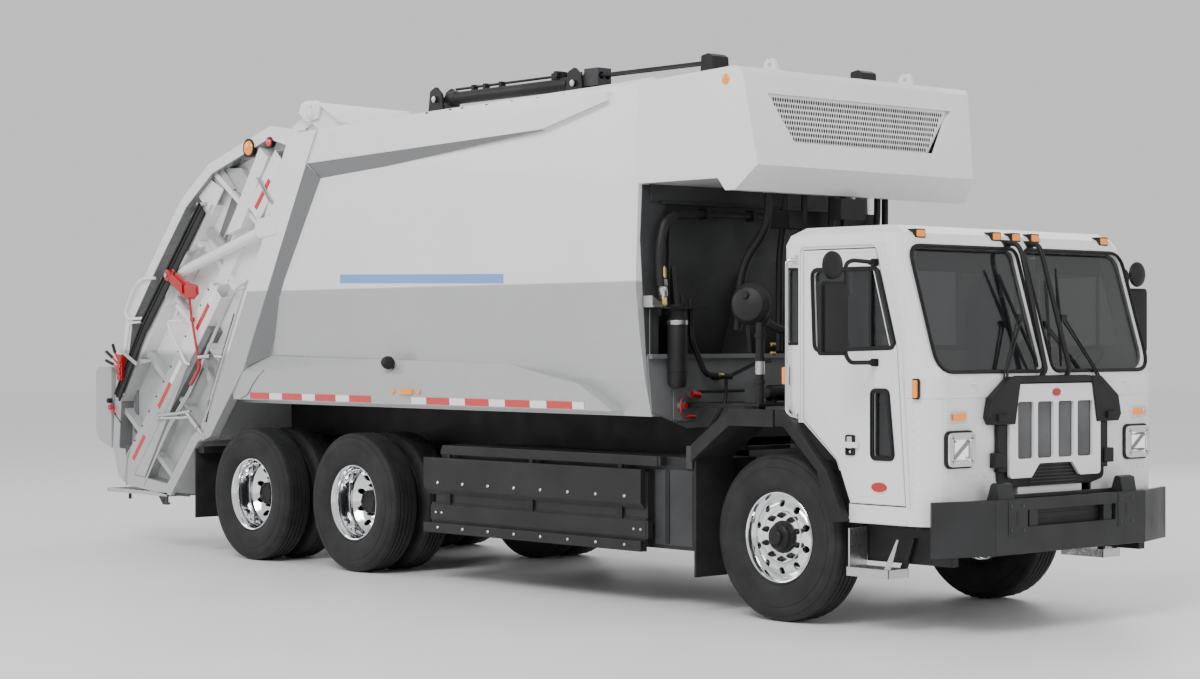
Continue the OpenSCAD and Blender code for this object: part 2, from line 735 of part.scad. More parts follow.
module door(side) {
    color("#f2f2f0") scale_side(side) difference() {
        side_plate(door_line, cab_half - wall, cab_half);
        side_plate(window_line, 1000, 1300);
        side_plate(low_window, 1000, 1300);
    }
    color("#202122") scale_side(side) union() {
        block(640, 740, cab_half + 1, cab_half + 26, 1155, 1190);
    }
}
module door_glass(side) {
    color([0.3, 0.35, 0.38, 0.5]) scale_side(side) {
        side_plate(rounded([[1023, 1791], [883, 2267], [346, 2267], [366, 1773]], [30, 30, 40, 40],
            4), 1160, 1168);
        side_plate(rounded([[1011, 1101], [967, 1509], [851, 1509], [851, 1101]], [25, 25, 25, 25],
            4), 1160, 1168);
    }
}
// Door mirror: a flat head and a round one on a C-shaped tube.
module mirror_arm(side) {
    color("#1d1d1e") scale_side(side) {
        union() {
            tube([[868, cab_half + 1, 2312], [868, 1440, 2322], [868, 1465, 2290], [868, 1465, 1715],
                [868, 1440, 1690], [868, cab_half + 1, 1690]], 14);
            block(828, 890, 1452, 1692, 1735, 2190);
            cross_rod(872, 2262, 12, 1460, 1580);
            translate([872, 1580, 2290]) rotate([0, 90, 0]) translate([0, 0, -30])
                cylinder(r = 90, h = 50);
        }
        block(850, 890, cab_half + 0.5, cab_half + 14, 2290, 2335);
        block(850, 890, cab_half + 0.5, cab_half + 14, 1668, 1712);
    }
}

// ---------- tailgate ----------

gate_line = [
    [shut_x(3535) - gap, 3535], [-5700, 3590], [-6610, 3329], [-7038, 3044], [-7547, 2487],
    [-7935, 2031], [-8004, 1713], [-8097, 1614], [-8168, 850], [-7934, 540], [-7213, 476],
    [-6779, 960], [shut_x(990) - gap, 990]];
gate_inset = [
    [-5470, 3420], [-5720, 3490], [-6560, 3245], [-6965, 2975], [-7470, 2425], [-7840, 1990],
    [-7905, 1665], [-8000, 1560], [-8060, 880], [-7890, 640], [-7260, 575], [-6880, 1000],
        [-6740, 1075]];
bay_low = blade_pivot + blade_stroke * track_dir;

// A straight rib of width w between two points of the side view.
module rib(a, b, w, y0, y1) {
    n = turned(unit(b - a), 90) * w / 2;
    side_plate([a + n, b + n, b - n, a - n], y0, y1);
}
module gate_side() {
    difference() {
        side_plate(gate_line, 1030, 1190);
        difference() {
            side_plate(gate_inset, 1060, 1200);
            rib([-5800, 3380], [-7800, 520], 150, 1050, 1185);
            rib([-6620, 3010], [-8060, 1310], 100, 1050, 1190);
            for (t = [0.16, 0.34, 0.52, 0.70, 0.88])
                rib([-5800, 3380] + t * [-2000, -2860] + [-480, 340],
                    [-5800, 3380] + t * [-2000, -2860] + [480, -340], 44, 1050, 1150);
        }
        // bay in which the lift cylinder swings
        side_plate([[-7290, 2110], [-7290, 2520], [-5600, 2880], [-5600, 2500]], 1107, 1200);
    }
    cross_rod(pin_gate[0], pin_gate[1], 60, 1055, 1120);
}
// Cover over the back, between the side walls.
gate_back = [
    [-5690, 3588], [-6610, 3328], [-7038, 3043], [-7547, 2486], [-7934, 2030],
    [-7890, 2010], [-7524, 2450], [-7018, 3005], [-6595, 3292], [-5690, 3548]];
hopper_floor = concat(
    arc(bay_low, hopper_r, 207, 264, 9),
    [[-7130, 585], [-6740, 1050], [-6525, 1330], [shut_x(1330) - gap, 1330], [shut_x(1000) - gap, 1000]],
    [[-6779, 965], [-7213, 480], [-7934, 545], [-8160, 860], [-8145, 1090]]);
module tailgate_side(side) {
    color("#f2f2f0") scale_side(side) gate_side();
}
module tailgate_back() {
    color("#f2f2f0") union() {
        both_sides() {
            // hinge lugs and their pins
            difference() {
                side_plate([[-5345, 3650], [-5345, 3720], [-5397, 3745], [-5470, 3720], [-5900, 3530],
                            [-5600, 3560]], 903, 937);
                cross_rod(hinge[0], hinge[1], 23, 860, 980);
            }
            cross_rod(hinge[0], hinge[1], 23.95, 866, 974);
        }
        side_plate(gate_back, -1030, 1030);
        // cross member over the opening
        side_plate([[shut_x(3535) - gap, 3535], [-5700, 3590], [-5700, 3545], [shut_x(3480) - gap, 3490]],
                   -1030, 1030);
    }
}
module hopper_shell() {
    color("#f2f2f0") side_plate(hopper_floor, -1030, 1030);
}
module rear_step() {
    color("#3a3b3d") both_sides() union() {
        block(-8253, -7257, 780, 1190, 464, 475);
        block(-8253, -8235, 780, 1190, 464, 501);
        side_plate([[-7420, 476], [-7260, 476], [-7260, 391], [-7330, 391]], 1150, 1190);
    }
    color("#b9babb") both_sides() side_plate([[-8169, 1587], [-rear_reach, 1587], [-rear_reach, 960],
        [-8390, 850], [-8169, 850]], 1045, 1205);
}
module grab_rails() {
    color("#f2f2f0") both_sides() {
        tube([[-7950, 1206, 1930], [-8150, 1206, 1900], [-8190, 1206, 1860], [-8190, 1206, 1680],
            [-8150, 1206, 1640], [-8060, 1206, 1620]], 14);
        for (p = [[-7955, 1915], [-8050, 1605]]) block(p[0] - 10, p[0] + 30, 1191, 1215, p[1] - 15,
            p[1] + 30);
    }
}
module control_levers() {
    color("#a8201a") both_sides() {
        block(-6900, -6770, 1191, 1225, 2130, 2290);
        rod([-6835, 1208, 2129], [-6835, 1208, 1720], 13);
        rod([-6700, 1206, 1350], [-6860, 1206, 1060], 18);
        for (x = [-8110, -8060]) rod([x, 1200, 1420], [x - 40, 1200, 1560], 8);
    }
}

// Where the lift cylinder points at rest, in degrees above straight back.
cyl_vec = pin_gate - pin_body;
cyl_len = norm(cyl_vec);
cyl_tilt = atan2(cyl_vec[1], -cyl_vec[0]);
module lift_barrel(side) {
    color("#f2f2f0") scale_side(side) difference() {
        union() {
            cross_rod(pin_body[0], pin_body[1], 52, 1128, 1192);
            translate([pin_body[0], 1160, pin_body[1]]) rotate([0, cyl_tilt - 90, 0])
                translate([0, 0, 40]) cylinder(r = 46, h = 1260);
        }
        cross_rod(pin_body[0], pin_body[1], 22.05, 1100, 1300);
        translate([pin_body[0], 1160, pin_body[1]]) rotate([0, cyl_tilt - 90, 0])
            translate([0, 0, 60]) cylinder(r = 27, h = 1300);
    }
}
module lift_rod(side) {
    color("#d5d6d8") scale_side(side) union() {
        cross_rod(pin_gate[0], pin_gate[1], 50, 1128, 1192);
        translate([pin_body[0], 1160, pin_body[1]]) rotate([0, cyl_tilt - 90, 0])
            translate([0, 0, 68]) cylinder(r = 26.95, h = cyl_len - 68 - 25);
    }
}

module packer_carriage() {
    up = -track_dir;
    side = turned(up, 90);
    a = blade_pivot + 78 * up;
    b = blade_pivot + 900 * up;
    color("#3a3c3f") union() {
        side_plate([a - 80 * side, a + 80 * side, b + 90 * side, b - 90 * side], -1015, 1015);
        both_sides() side_plate([blade_pivot + 50 * side - 20 * up, a + 60 * side + 10 * up,
            a - 60 * side + 10 * up, blade_pivot - 50 * side - 20 * up], 925, 1010);
        cross_rod(blade_pivot[0], blade_pivot[1], 30, -930, 930);
    }
}
module sweep_blade() {
    p = blade_pivot;
    color("#33353a") difference() {
        union() {
            cross_rod(p[0], p[1], 62, -915, 915);
            side_plate([p + [-30, 0], p + [34, 0], p + [50, -500], p + [10, -935], p + [-30, -935],
                p + [-20, -500]], -1010, 1010);
            for (y = [-600, 0, 600]) side_plate([p + [34, -10], p + [110, -250], p + [110, -600],
                p + [20, -900]], y - 15, y + 15);
        }
        cross_rod(p[0], p[1], 30.05, -1100, 1100);
        // room for the carriage's lugs
        both_sides() cross_rod(p[0], p[1], 78, 916, 1100);
    }
}

place() chassis_frame();
place() front_bumper();
place() engine_block();
place() front_axle();
place() drive_axles();
place() rear_suspension();
place() side_guards();
place() mudguards();
place() entry_steps();
place() body_subframe();
place() body_shell();
place() roof_pod();
place() pod_grille();
place() roof_cylinder();
place() roof_slide_block();
place() hydraulic_lines();
place() ejector_panel();
place() cab_shell();
place() cab_top();
place() cab_glass();
place() cab_fenders();
place() grille_panel();
place() grille_surround();
place() front_lamps();
place() wipers_and_braces();
place() seats();
place() dashboard();
place() door(-1);  // door_right
place() door_glass(-1);  // door_glass_right
place() mirror_arm(-1);  // mirror_right
place() door(1);  // door_left
place() door_glass(1);  // door_glass_left
place() mirror_arm(1);  // mirror_left
place() knuckle(-1);  // knuckle_right
place() knuckle(1);  // knuckle_left
place() tyre_front(-1);  // tyre_front_right
place() wheel_front(-1);  // wheel_front_right
place() tyre_front(1);  // tyre_front_left
place() wheel_front(1);  // wheel_front_left
place() tyres_drive(-drive_axle_1, -1);  // tyres_drive1_right
place() wheels_drive(-drive_axle_1, -1);  // wheels_drive1_right
place() tyres_drive(-drive_axle_1, 1);  // tyres_drive1_left
place() wheels_drive(-drive_axle_1, 1);  // wheels_drive1_left
place() tyres_drive(-drive_axle_2, -1);  // tyres_drive2_right
place() wheels_drive(-drive_axle_2, -1);  // wheels_drive2_right
place() tyres_drive(-drive_axle_2, 1);  // tyres_drive2_left
place() wheels_drive(-drive_axle_2, 1);  // wheels_drive2_left
place() tailgate_side(-1);  // tailgate_side_right
place() tailgate_side(1);  // tailgate_side_left
place() tailgate_back();
place() hopper_shell();
place() rear_step();
place() grab_rails();
place() control_levers();
place() lift_barrel(-1);  // lift_barrel_right
place() lift_rod(-1);  // lift_rod_right
place() lift_barrel(1);  // lift_barrel_left
place() lift_rod(1);  // lift_rod_left
place() packer_carriage();
place() sweep_blade();
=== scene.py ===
import bpy, bmesh, math
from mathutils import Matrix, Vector


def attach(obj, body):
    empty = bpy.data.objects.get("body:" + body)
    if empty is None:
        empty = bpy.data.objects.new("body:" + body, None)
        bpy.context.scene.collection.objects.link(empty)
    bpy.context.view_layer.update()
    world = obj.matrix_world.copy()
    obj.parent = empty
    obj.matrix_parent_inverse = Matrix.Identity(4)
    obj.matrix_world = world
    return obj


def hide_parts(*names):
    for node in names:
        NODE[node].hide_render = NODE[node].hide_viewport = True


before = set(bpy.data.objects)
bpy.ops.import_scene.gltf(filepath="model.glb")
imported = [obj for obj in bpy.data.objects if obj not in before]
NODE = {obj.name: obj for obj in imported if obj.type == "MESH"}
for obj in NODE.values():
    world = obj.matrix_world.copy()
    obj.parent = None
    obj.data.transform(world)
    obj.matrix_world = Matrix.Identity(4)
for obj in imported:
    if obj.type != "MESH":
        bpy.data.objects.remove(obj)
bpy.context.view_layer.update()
scene = bpy.context.scene

# Lengths are in metres. x is given from the front axle and moved to the row frame by AXLE_X.
AXLE_X = 3.477
TYRE_R = 0.548
FRONT_TYRE_W, REAR_TYRE_W = 0.29, 0.276
FRONT_Y, OUTER_Y, PAIR_PITCH = 1.03, 1.078, 0.336
DRIVE_X = (-4.561, -5.976)
CAB_HALF = 1.19
BELT_Z, LEAN, CAB_FRONT = 1.6, 0.304, 1.31
SIDES = (("right", -1), ("left", 1))

# ---------- camera ----------
cam = bpy.data.objects.new("camera", bpy.data.cameras.new("camera"))
scene.collection.objects.link(cam)
cam.location = (10.763 + AXLE_X, -12.538, 1.833)
cam.rotation_euler = (math.radians(90), 0, math.radians(47.61))
cam.data.lens = 72.17
cam.data.sensor_width = 36
scene.camera = cam


# ---------- materials ----------
class Nodes:
    """A material whose nodes are added and linked by short calls."""

    def __init__(self, name, col, rough=0.5, metal=0.0, **sockets):
        self.m = bpy.data.materials.new(name)
        self.m.use_nodes = True
        self.t = self.m.node_tree
        self.b = self.t.nodes["Principled BSDF"]
        self.b.inputs["Base Color"].default_value = (*col, 1)
        self.b.inputs["Roughness"].default_value = rough
        self.b.inputs["Metallic"].default_value = metal
        for k, v in sockets.items():
            self.b.inputs[k.replace("_", " ")].default_value = v

    def add(self, kind, ins=(), **props):
        n = self.t.nodes.new("ShaderNode" + kind)
        for k, v in props.items():
            setattr(n, k, v)
        for k, v in dict(ins).items():
            if isinstance(v, bpy.types.NodeSocket):
                self.t.links.new(v, n.inputs[k])
            else:
                n.inputs[k].default_value = v
        return n

    def coords(self, scale=(1, 1, 1)):
        c = self.add("TexCoord")
        return self.add("Mapping", {"Vector": c.outputs["Object"], "Scale": scale}).outputs[0]

    def noise(self, scale, detail=3.0, vec=None, rough=0.5):
        ins = {"Scale": scale, "Detail": detail, "Roughness": rough, "Vector": vec or self.coords()}
        return self.add("TexNoise", ins).outputs["Fac"]

    def ramp(self, fac, stops):
        r = self.add("ValToRGB", {"Fac": fac})
        e = r.color_ramp.elements
        while len(e) < len(stops):
            e.new(0.5)
        for el, (p, c) in zip(e, stops):
            el.position = p
            el.color = (*c, 1) if isinstance(c, tuple) else (c, c, c, 1)
        return r.outputs[0]

    def to(self, socket, out):
        self.t.links.new(out, self.b.inputs[socket])
        return self

    def bump(self, fac, dist, strength=1.0):
        n = self.add("Bump", {"Height": fac, "Distance": dist, "Strength": strength})
        self.t.links.new(n.outputs[0], self.b.inputs["Normal"])
        return self


def gloss_paint(name, col, peel=0.00035, rough=0.26, grime=0.05):
    """Vehicle paint: faint orange peel, slight unevenness of colour and gloss, and a clear coat."""
    n = Nodes(name, col, rough, Coat_Weight=0.6, Coat_Roughness=0.06)
    n.to("Roughness", n.ramp(n.noise(1.7), [(0.3, rough - 0.04), (0.7, rough + 0.09)]))
    dark = tuple(c * (1 - grime) for c in col)
    n.to("Base Color", n.ramp(n.noise(0.9, 6), [(0.38, dark), (0.62, col)]))
    n.bump(n.noise(260), peel, 0.25)
    return n.m


def coat(name, col, rough=0.45, grain=220.0, depth=0.0006, metal=0.0):
    """Chassis paint or powder coat: fine grain, dusty patches."""
    n = Nodes(name, col, rough, metal, Specular_IOR_Level=0.3)
    light = tuple(min(1, c * 1.5 + 0.005) for c in col)
    n.to("Base Color", n.ramp(n.noise(3.1, 8), [(0.35, col), (0.8, light)]))
    n.to("Roughness", n.ramp(n.noise(5.0, 4), [(0.3, rough - 0.07), (0.7, rough + 0.1)]))
    n.bump(n.noise(grain, 2), depth, 0.5)
    return n.m


def rubber(name, col=(0.014, 0.014, 0.015), rough=0.66):
    n = Nodes(name, col, rough, Specular_IOR_Level=0.3)
    n.to("Base Color", n.ramp(n.noise(7, 6), [(0.35, col), (0.75, tuple(c * 1.9 for c in col))]))
    n.bump(n.noise(170, 3), 0.0008, 0.4)
    return n.m


def bright_metal(name, col, rough, scratch, aniso=0.0):
    """Polished or brushed metal: fine scratches in gloss and a little waviness."""
    n = Nodes(name, col, rough, 1.0, Anisotropic=aniso)
    n.to("Roughness", n.ramp(n.noise(scratch, 5, n.coords((1, 14, 1))),
            [(0.3, rough * 0.7), (0.75, rough * 1.7)]))
    n.bump(n.noise(11, 2), 0.0006, 0.3)
    return n.m


def glass(name, col, alpha, rough=0.03):
    n = Nodes(name, col, rough, Alpha=alpha, Specular_IOR_Level=0.8, Coat_Weight=0.5)
    n.to("Roughness", n.ramp(n.noise(2.5, 4), [(0.4, rough), (0.9, rough + 0.05)]))
    n.m.surface_render_method = "BLENDED"
    return n.m


def lens(name, col, glow, depth=0.001):
    """Moulded lamp lens: a fine grid of prisms over a bright colour."""
    n = Nodes(name, col, 0.12, Coat_Weight=0.8, Coat_Roughness=0.03, Emission_Strength=glow)
    n.b.inputs["Emission Color"].default_value = (*col, 1)
    v = n.add("TexVoronoi", {"Scale": 130.0, "Vector": n.coords()}).outputs["Distance"]
    n.bump(v, depth, 0.6)
    n.to("Base Color", n.ramp(v, [(0.0, tuple(min(1, c * 1.25) for c in col)), (0.6, col)]))
    return n.m


def two_tone(name, top, low, z, soft=0.006):
    """White above and light grey below one height, as the body is painted."""
    n = Nodes(name, top, 0.27, Coat_Weight=0.6, Coat_Roughness=0.06)
    pos = n.add("TexCoord").outputs["Object"]
    h = n.add("SeparateXYZ", {"Vector": pos}).outputs["Z"]
    fac = n.add("MapRange", {"Value": h, "From Min": z - soft, "From Max": z + soft}).outputs[0]
    spots = n.ramp(n.noise(0.9, 6), [(0.35, 0.955), (0.65, 1.0)])
    mix = n.add("Mix", {"Factor": fac, "A": (*low, 1), "B": (*top, 1)}, data_type="RGBA")
    mul = n.add("Mix", {"Factor": 1.0, "B": spots}, data_type="RGBA", blend_type="MULTIPLY")
    n.t.links.new(mix.outputs["Result"], mul.inputs["A"])
    n.to("Base Color", mul.outputs["Result"])
    n.to("Roughness", n.ramp(n.noise(1.7), [(0.3, 0.23), (0.7, 0.36)]))
    n.bump(n.noise(260), 0.00035, 0.25)
    return n.m


def cloth(name, col):
    n = Nodes(name, col, 0.9, Sheen_Weight=0.5)
    wave = n.add("TexWave", {"Scale": 190.0, "Distortion": 1.5,
            "Vector": n.coords((1, 1, 1.3))}).outputs["Fac"]
    n.to("Base Color", n.ramp(wave, [(0.2, col), (0.8, tuple(c * 1.5 for c in col))]))
    n.bump(wave, 0.0012, 0.6)
    return n.m


WHITE = (0.86, 0.86, 0.855)
M = {
    "white": gloss_paint("white_paint", WHITE),
    "body": two_tone("body_paint", WHITE, (0.44, 0.445, 0.45), 2.235),
    "gate": two_tone("tailgate_paint", WHITE, (0.44, 0.445, 0.45), 1.72, 0.03),
    "grey": gloss_paint("light_grey_paint", (0.42, 0.425, 0.43)),
    # dark grey for the chamfer plates and weld lines, and painted shade along folds and on the tailgate
    # rim's inner faces
    "recess": gloss_paint("recess_grey", (0.15, 0.155, 0.16)),
    "black": coat("chassis_black", (0.01, 0.01, 0.011), 0.46),
    "bumper": coat("bumper_coat", (0.016, 0.0165, 0.0175), 0.4, 320.0, 0.0008),
    "guard": coat("guard_coat", (0.014, 0.014, 0.015), 0.36, 280.0),
    "dark": coat("dark_steel", (0.045, 0.046, 0.048), 0.5, 90.0, 0.0012, 0.3),
    "inside": coat("body_inside", (0.045, 0.046, 0.048), 0.55, 60.0, 0.0015, 0.2),
    "grey_steel": coat("grey_steel", (0.14, 0.143, 0.147), 0.5, 90.0, 0.001, 0.1),
    "plastic": coat("moulded_black", (0.008, 0.008, 0.009), 0.5, 420.0, 0.0009),
    "rubber": rubber("tyre_rubber"),
    "hose": rubber("hose_rubber", (0.007, 0.007, 0.008), 0.45),
    "alloy": bright_metal("polished_aluminium", (0.86, 0.87, 0.88), 0.09, 26.0, 0.3),
    "steel": bright_metal("plated_steel", (0.6, 0.6, 0.61), 0.28, 40.0),
    "brass": bright_metal("brass_fitting", (0.78, 0.6, 0.2), 0.25, 40.0),
    "chrome": bright_metal("chrome", (0.88, 0.88, 0.89), 0.05, 18.0),
    "mirror": bright_metal("mirror_glass", (0.8, 0.82, 0.84), 0.03, 6.0),
    "glass": glass("tinted_glass", (0.01, 0.012, 0.014), 0.6),
    "lamp_glass": glass("lamp_glass", (0.95, 0.95, 0.95), 0.28),
    "amber": lens("amber_lens", (1.0, 0.28, 0.01), 0.25),
    "red_lens": lens("red_lens", (0.7, 0.02, 0.02), 0.15),
    "clear_lens": lens("clear_lens", (0.92, 0.93, 0.95), 0.55),
    "red": gloss_paint("red_paint", (0.52, 0.006, 0.008), grime=0.25),
    # reflective tape: the lens emission gives it a faint painted glow
    "tape_red": lens("tape_red", (0.6, 0.004, 0.006), 0.03, 0.0003),
    "tape_white": lens("tape_white", (0.88, 0.88, 0.88), 0.05, 0.0003),
    "stripe": gloss_paint("stripe_blue", (0.17, 0.36, 0.76)),
    "cloth": cloth("seat_cloth", (0.035, 0.038, 0.043)),
}


# ---------- shapes ----------
class Shape:
    """A mesh put together from simple forms. Points are from the front axle until done() is called."""

    def __init__(self):
        self.bm = bmesh.new()

    def add(self, verts, faces):
        vs = [self.bm.verts.new(v) for v in verts]
        for f in faces:
            self.bm.faces.new([vs[i] for i in f])
        return self

    def block(self, x0, x1, y0, y1, z0, z1):
        return self.prism([(x0, y0), (x1, y0), (x1, y1), (x0, y1)], "z", z0, z1)

    def prism(self, outline, axis, a, b):
        """A flat outline pushed along an axis: (y, z) along x, (x, z) along y, (x, y) along z."""
        place = {"x": lambda u, v, w: (w, u, v), "y": lambda u, v, w: (u, w, v), "z": lambda u, v,
                w: (u, v, w)}[axis]
        n = len(outline)
        vs = [place(u, v, a) for u, v in outline] + [place(u, v, b) for u, v in outline]
        fs = [tuple(range(n)), tuple(range(2 * n - 1, n - 1, -1))]
        fs += [(i, i + n, (i + 1) % n + n, (i + 1) % n) for i in range(n)]
        return self.add(vs, fs)

    def ring_prism(self, outer, inner, axis, a, b):
        """A frame between two outlines with as many points each."""
        place = {"x": lambda u, v, w: (w, u, v), "y": lambda u, v, w: (u, w, v), "z": lambda u, v,
                w: (u, v, w)}[axis]
        n = len(outer)
        vs = [place(u, v, w) for w in (a, b) for o in (outer, inner) for u, v in o]
        fs = []
        for i in range(n):
            j = (i + 1) % n
            fs += [(i, j, j + n, i + n), (i + 2 * n, i + 3 * n, j + 3 * n, j + 2 * n)]
            fs += [(i, i + 2 * n, j + 2 * n, j), (i + n, j + n, j + 3 * n, i + 3 * n)]
        return self.add(vs, fs)

    def lathe(self, profile, at, axis=(0, 1, 0), n=64, closed=False, warp=None):
        """A profile of (radius, distance along the axis) turned about it.

        warp(r, h, i) may change a radius."""
        q = Vector((0, 0, 1)).rotation_difference(Vector(axis).normalized())
        at = Vector(at)
        rings = []
        for r, h in profile:
            if r < 1e-6:
                rings.append([self.bm.verts.new(at + q @ Vector((0, 0, h)))])
                continue
            ring = []
            for i in range(n):
                a = 2 * math.pi * i / n
                w = warp(r, h, i) if warp else r
                ring.append(self.bm.verts.new(at + q @ Vector((w * math.cos(a), w * math.sin(a), h))))
            rings.append(ring)
        pairs = list(zip(rings, rings[1:])) + ([(rings[-1], rings[0])] if closed else [])
        for a, b in pairs:
            for i in range(n):
                j = (i + 1) % n
                if len(a) == 1 and len(b) == 1:
                    continue
                if len(a) == 1:
                    self.bm.faces.new((a[0], b[j], b[i]))
                elif len(b) == 1:
                    self.bm.faces.new((a[i], a[j], b[0]))
                else:
                    self.bm.faces.new((a[i], a[j], b[j], b[i]))
        return self

    def rod(self, a, b, r, n=16, r2=None):
        a, b = Vector(a), Vector(b)
        h = (b - a).length
        return self.lathe([(0, 0), (r, 0), (r2 or r, h), (0, h)], a, b - a, n)

    def tube(self, pts, r, n=12, bend=0.06, steps=5):
        """A bent tube: straight runs with rounded bends."""
        pts = [Vector(p) for p in pts]
        path = [pts[0]]
        for a, p, b in zip(pts, pts[1:], pts[2:]):
            d = min(bend, (a - p).length * 0.45, (b - p).length * 0.45)
            s, e = p + (a - p).normalized() * d, p + (b - p).normalized() * d
            path += [s.lerp(p, t).lerp(p.lerp(e, t), t) for t in (i / steps for i in range(steps + 1))]
        path.append(pts[-1])
        t0 = (path[1] - path[0]).normalized()
        side = t0.orthogonal().normalized()
        rings = []
        for i, p in enumerate(path):
            t = (path[min(i + 1, len(path) - 1)] - path[max(i - 1, 0)]).normalized()
            side = (side - t * side.dot(t)).normalized()
            up = t.cross(side)
            rings.append([self.bm.verts.new(p + (side * math.cos(w) + up * math.sin(w)) * r)
                          for w in (2 * math.pi * k / n for k in range(n))])
        for a, b in zip(rings, rings[1:]):
            for k in range(n):
                self.bm.faces.new((a[k], a[(k + 1) % n], b[(k + 1) % n], b[k]))
        self.bm.faces.new(rings[0][::-1])
        self.bm.faces.new(rings[-1])
        return self

    def bolt(self, at, axis=(0, -1, 0), r=0.011, h=0.008, n=6):
        return self.lathe([(0, 0), (r, 0), (r, h * 0.7), (r * 0.8, h), (0, h)], at, axis, n)

    def rivets(self, a, b, count, axis, r=0.006, h=0.004):
        a, b = Vector(a), Vector(b)
        for i in range(count):
            at = a.lerp(b, i / max(1, count - 1))
            self.lathe([(r, 0), (r * 0.75, h * 0.75), (0, h)], at, axis, 8)
        return self

    def mark(self):
        self.bm.verts.ensure_lookup_table()
        return len(self.bm.verts)

    def both(self):
        """Adds the mirror image across the centre line."""
        g = bmesh.ops.duplicate(self.bm,
                geom=self.bm.verts[:] + self.bm.edges[:] + self.bm.faces[:])["geom"]
        for v in (x for x in g if isinstance(x, bmesh.types.BMVert)):
            v.co.y = -v.co.y
        bmesh.ops.reverse_faces(self.bm, faces=[x for x in g if isinstance(x, bmesh.types.BMFace)])
        return self

    def done(self, name, mat, body, slot, replaces=(), bevel=0.003, segments=2, side=-1):
        """Makes the object; side 1 mirrors it to the left."""
        bm = self.bm
        bmesh.ops.recalc_face_normals(bm, faces=bm.faces[:])
        for v in bm.verts:
            v.co.x += AXLE_X
            if side > 0:
                v.co.y = -v.co.y
        if side > 0:
            bmesh.ops.reverse_faces(bm, faces=bm.faces[:])
        for e in bm.edges:
            e.smooth = len(e.link_faces) == 2 and e.calc_face_angle(0) < math.radians(32)
        for f in bm.faces:
            f.smooth = True
        me = bpy.data.meshes.new(name)
        bm.to_mesh(me)
        bm.free()
        o = bpy.data.objects.new(name, me)
        scene.collection.objects.link(o)
        me.materials.append(M[mat])
        if bevel:
            soften(o, bevel, segments)
        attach(o, body)
        if replaces:
            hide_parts(*replaces)
        return o


def soften(o, width, segments=2, angle=32):
    b = o.modifiers.new("edges", "BEVEL")
    b.width = width
    b.segments = segments
    b.limit_method = "ANGLE"
    b.angle_limit = math.radians(angle)
    b.harden_normals = True
    b.use_clamp_overlap = True


def keep(node, mat, bevel=0.004, segments=2):
    """A CAD node whose shape is right: merged flats, softened edges and a finished material."""
    o = NODE[node]
    o.data.materials.clear()
    o.data.materials.append(M[mat])
    if bevel:
        d = o.modifiers.new("flats", "DECIMATE")
        d.decimate_type = "DISSOLVE"
        d.angle_limit = math.radians(1.5)
        soften(o, bevel, segments, 28)


def rounded(pts, r, n=5):
    """A closed outline with its corners rounded."""
    out = []
    k = len(pts)
    for i in range(k):
        a, p, b = Vector(pts[i - 1]), Vector(pts[i]), Vector(pts[(i + 1) % k])
        ri = r[i] if isinstance(r, (list, tuple)) else r
        if ri <= 0:
            out.append(tuple(p))
            continue
        u, v = (a - p).normalized(), (b - p).normalized()
        half = u.angle(v) / 2
        d = min(ri / math.tan(half), (a - p).length * 0.48, (b - p).length * 0.48)
        s, e = p + u * d, p + v * d
        out += [tuple(s.lerp(p, t).lerp(p.lerp(e, t), t)) for t in (j / n for j in range(n + 1))]
    return out


def grown(pts, d):
    """The outline moved outward by d, for a counter-clockwise or clockwise polygon."""
    k = len(pts)
    area = sum(pts[i - 1][0] * pts[i][1] - pts[i][0] * pts[i - 1][1] for i in range(k))
    s = 1 if area > 0 else -1
    out = []
    for i in range(k):
        a, p, b = Vector(pts[i - 1]), Vector(pts[i]), Vector(pts[(i + 1) % k])
        u, v = (p - a), (b - p)
        u = u.normalized() if u.length > 1e-9 else v.normalized()
        v = v.normalized() if v.length > 1e-9 else u
        n1, n2 = Vector((u.y, -u.x)) * s, Vector((v.y, -v.x)) * s
        m = n1 + n2
        m = m.normalized() if m.length > 1e-6 else n1
        out.append(tuple(p + m * d / max(0.4, m.dot(n1))))
    return out


def front_x(z):
    return CAB_FRONT - max(0, z - BELT_Z) * LEAN


# ---------- wheels ----------
def tyre_profile(w, grooves):
    """Half the section from bead to shoulder, the ribbed tread, and the half mirrored."""
    h = w / 2
    wall = [(0.288, h - 0.042), (0.297, h - 0.031), (0.306, h - 0.024), (0.311, h - 0.027),
            (0.318, h - 0.021),
            (0.345, h - 0.011), (0.372, h - 0.004), (0.405, h - 0.0008), (0.44, h), (0.452, h - 0.0015),
            (0.455, h - 0.005), (0.459, h - 0.0035), (0.498, h - 0.009), (0.51, h - 0.0135), (0.514,
                    h - 0.019),
            (0.519, h - 0.0175), (0.533, h - 0.026), (0.5425, h - 0.037)]
    edge = h - 0.046
    tread = [(TYRE_R, edge)]
    for i in range(grooves):
        c = edge - (i + 1) * 2 * edge / (grooves + 1)
        tread += [(TYRE_R, c + 0.0065), (TYRE_R - 0.013, c + 0.004), (TYRE_R - 0.013, c - 0.004),
                (TYRE_R, c - 0.0065)]
    tread.append((TYRE_R, -edge))
    return wall + tread + [(r, -y) for r, y in wall[::-1]]


def sipes(w):
    """Small cuts across the shoulders and rib edges."""
    edge = w / 2 - 0.046

    def warp(r, h, i):
        if r > TYRE_R - 0.004 and i % 3 == 0 and abs(h) > edge - 0.001:
            return r - 0.007
        if r > TYRE_R - 0.004 and i % 2 == 0:
            return r - 0.0012
        return r
    return warp


def tyres(name, x, ys, w, body, node, side):
    s = Shape()
    for y in ys:
        s.lathe(tyre_profile(w, 4), (x, -y, TYRE_R), (0, -1, 0), 150, warp=sipes(w))
    s.done(name, "rubber", body, "tyre_rubber", (node,), bevel=0, side=side)


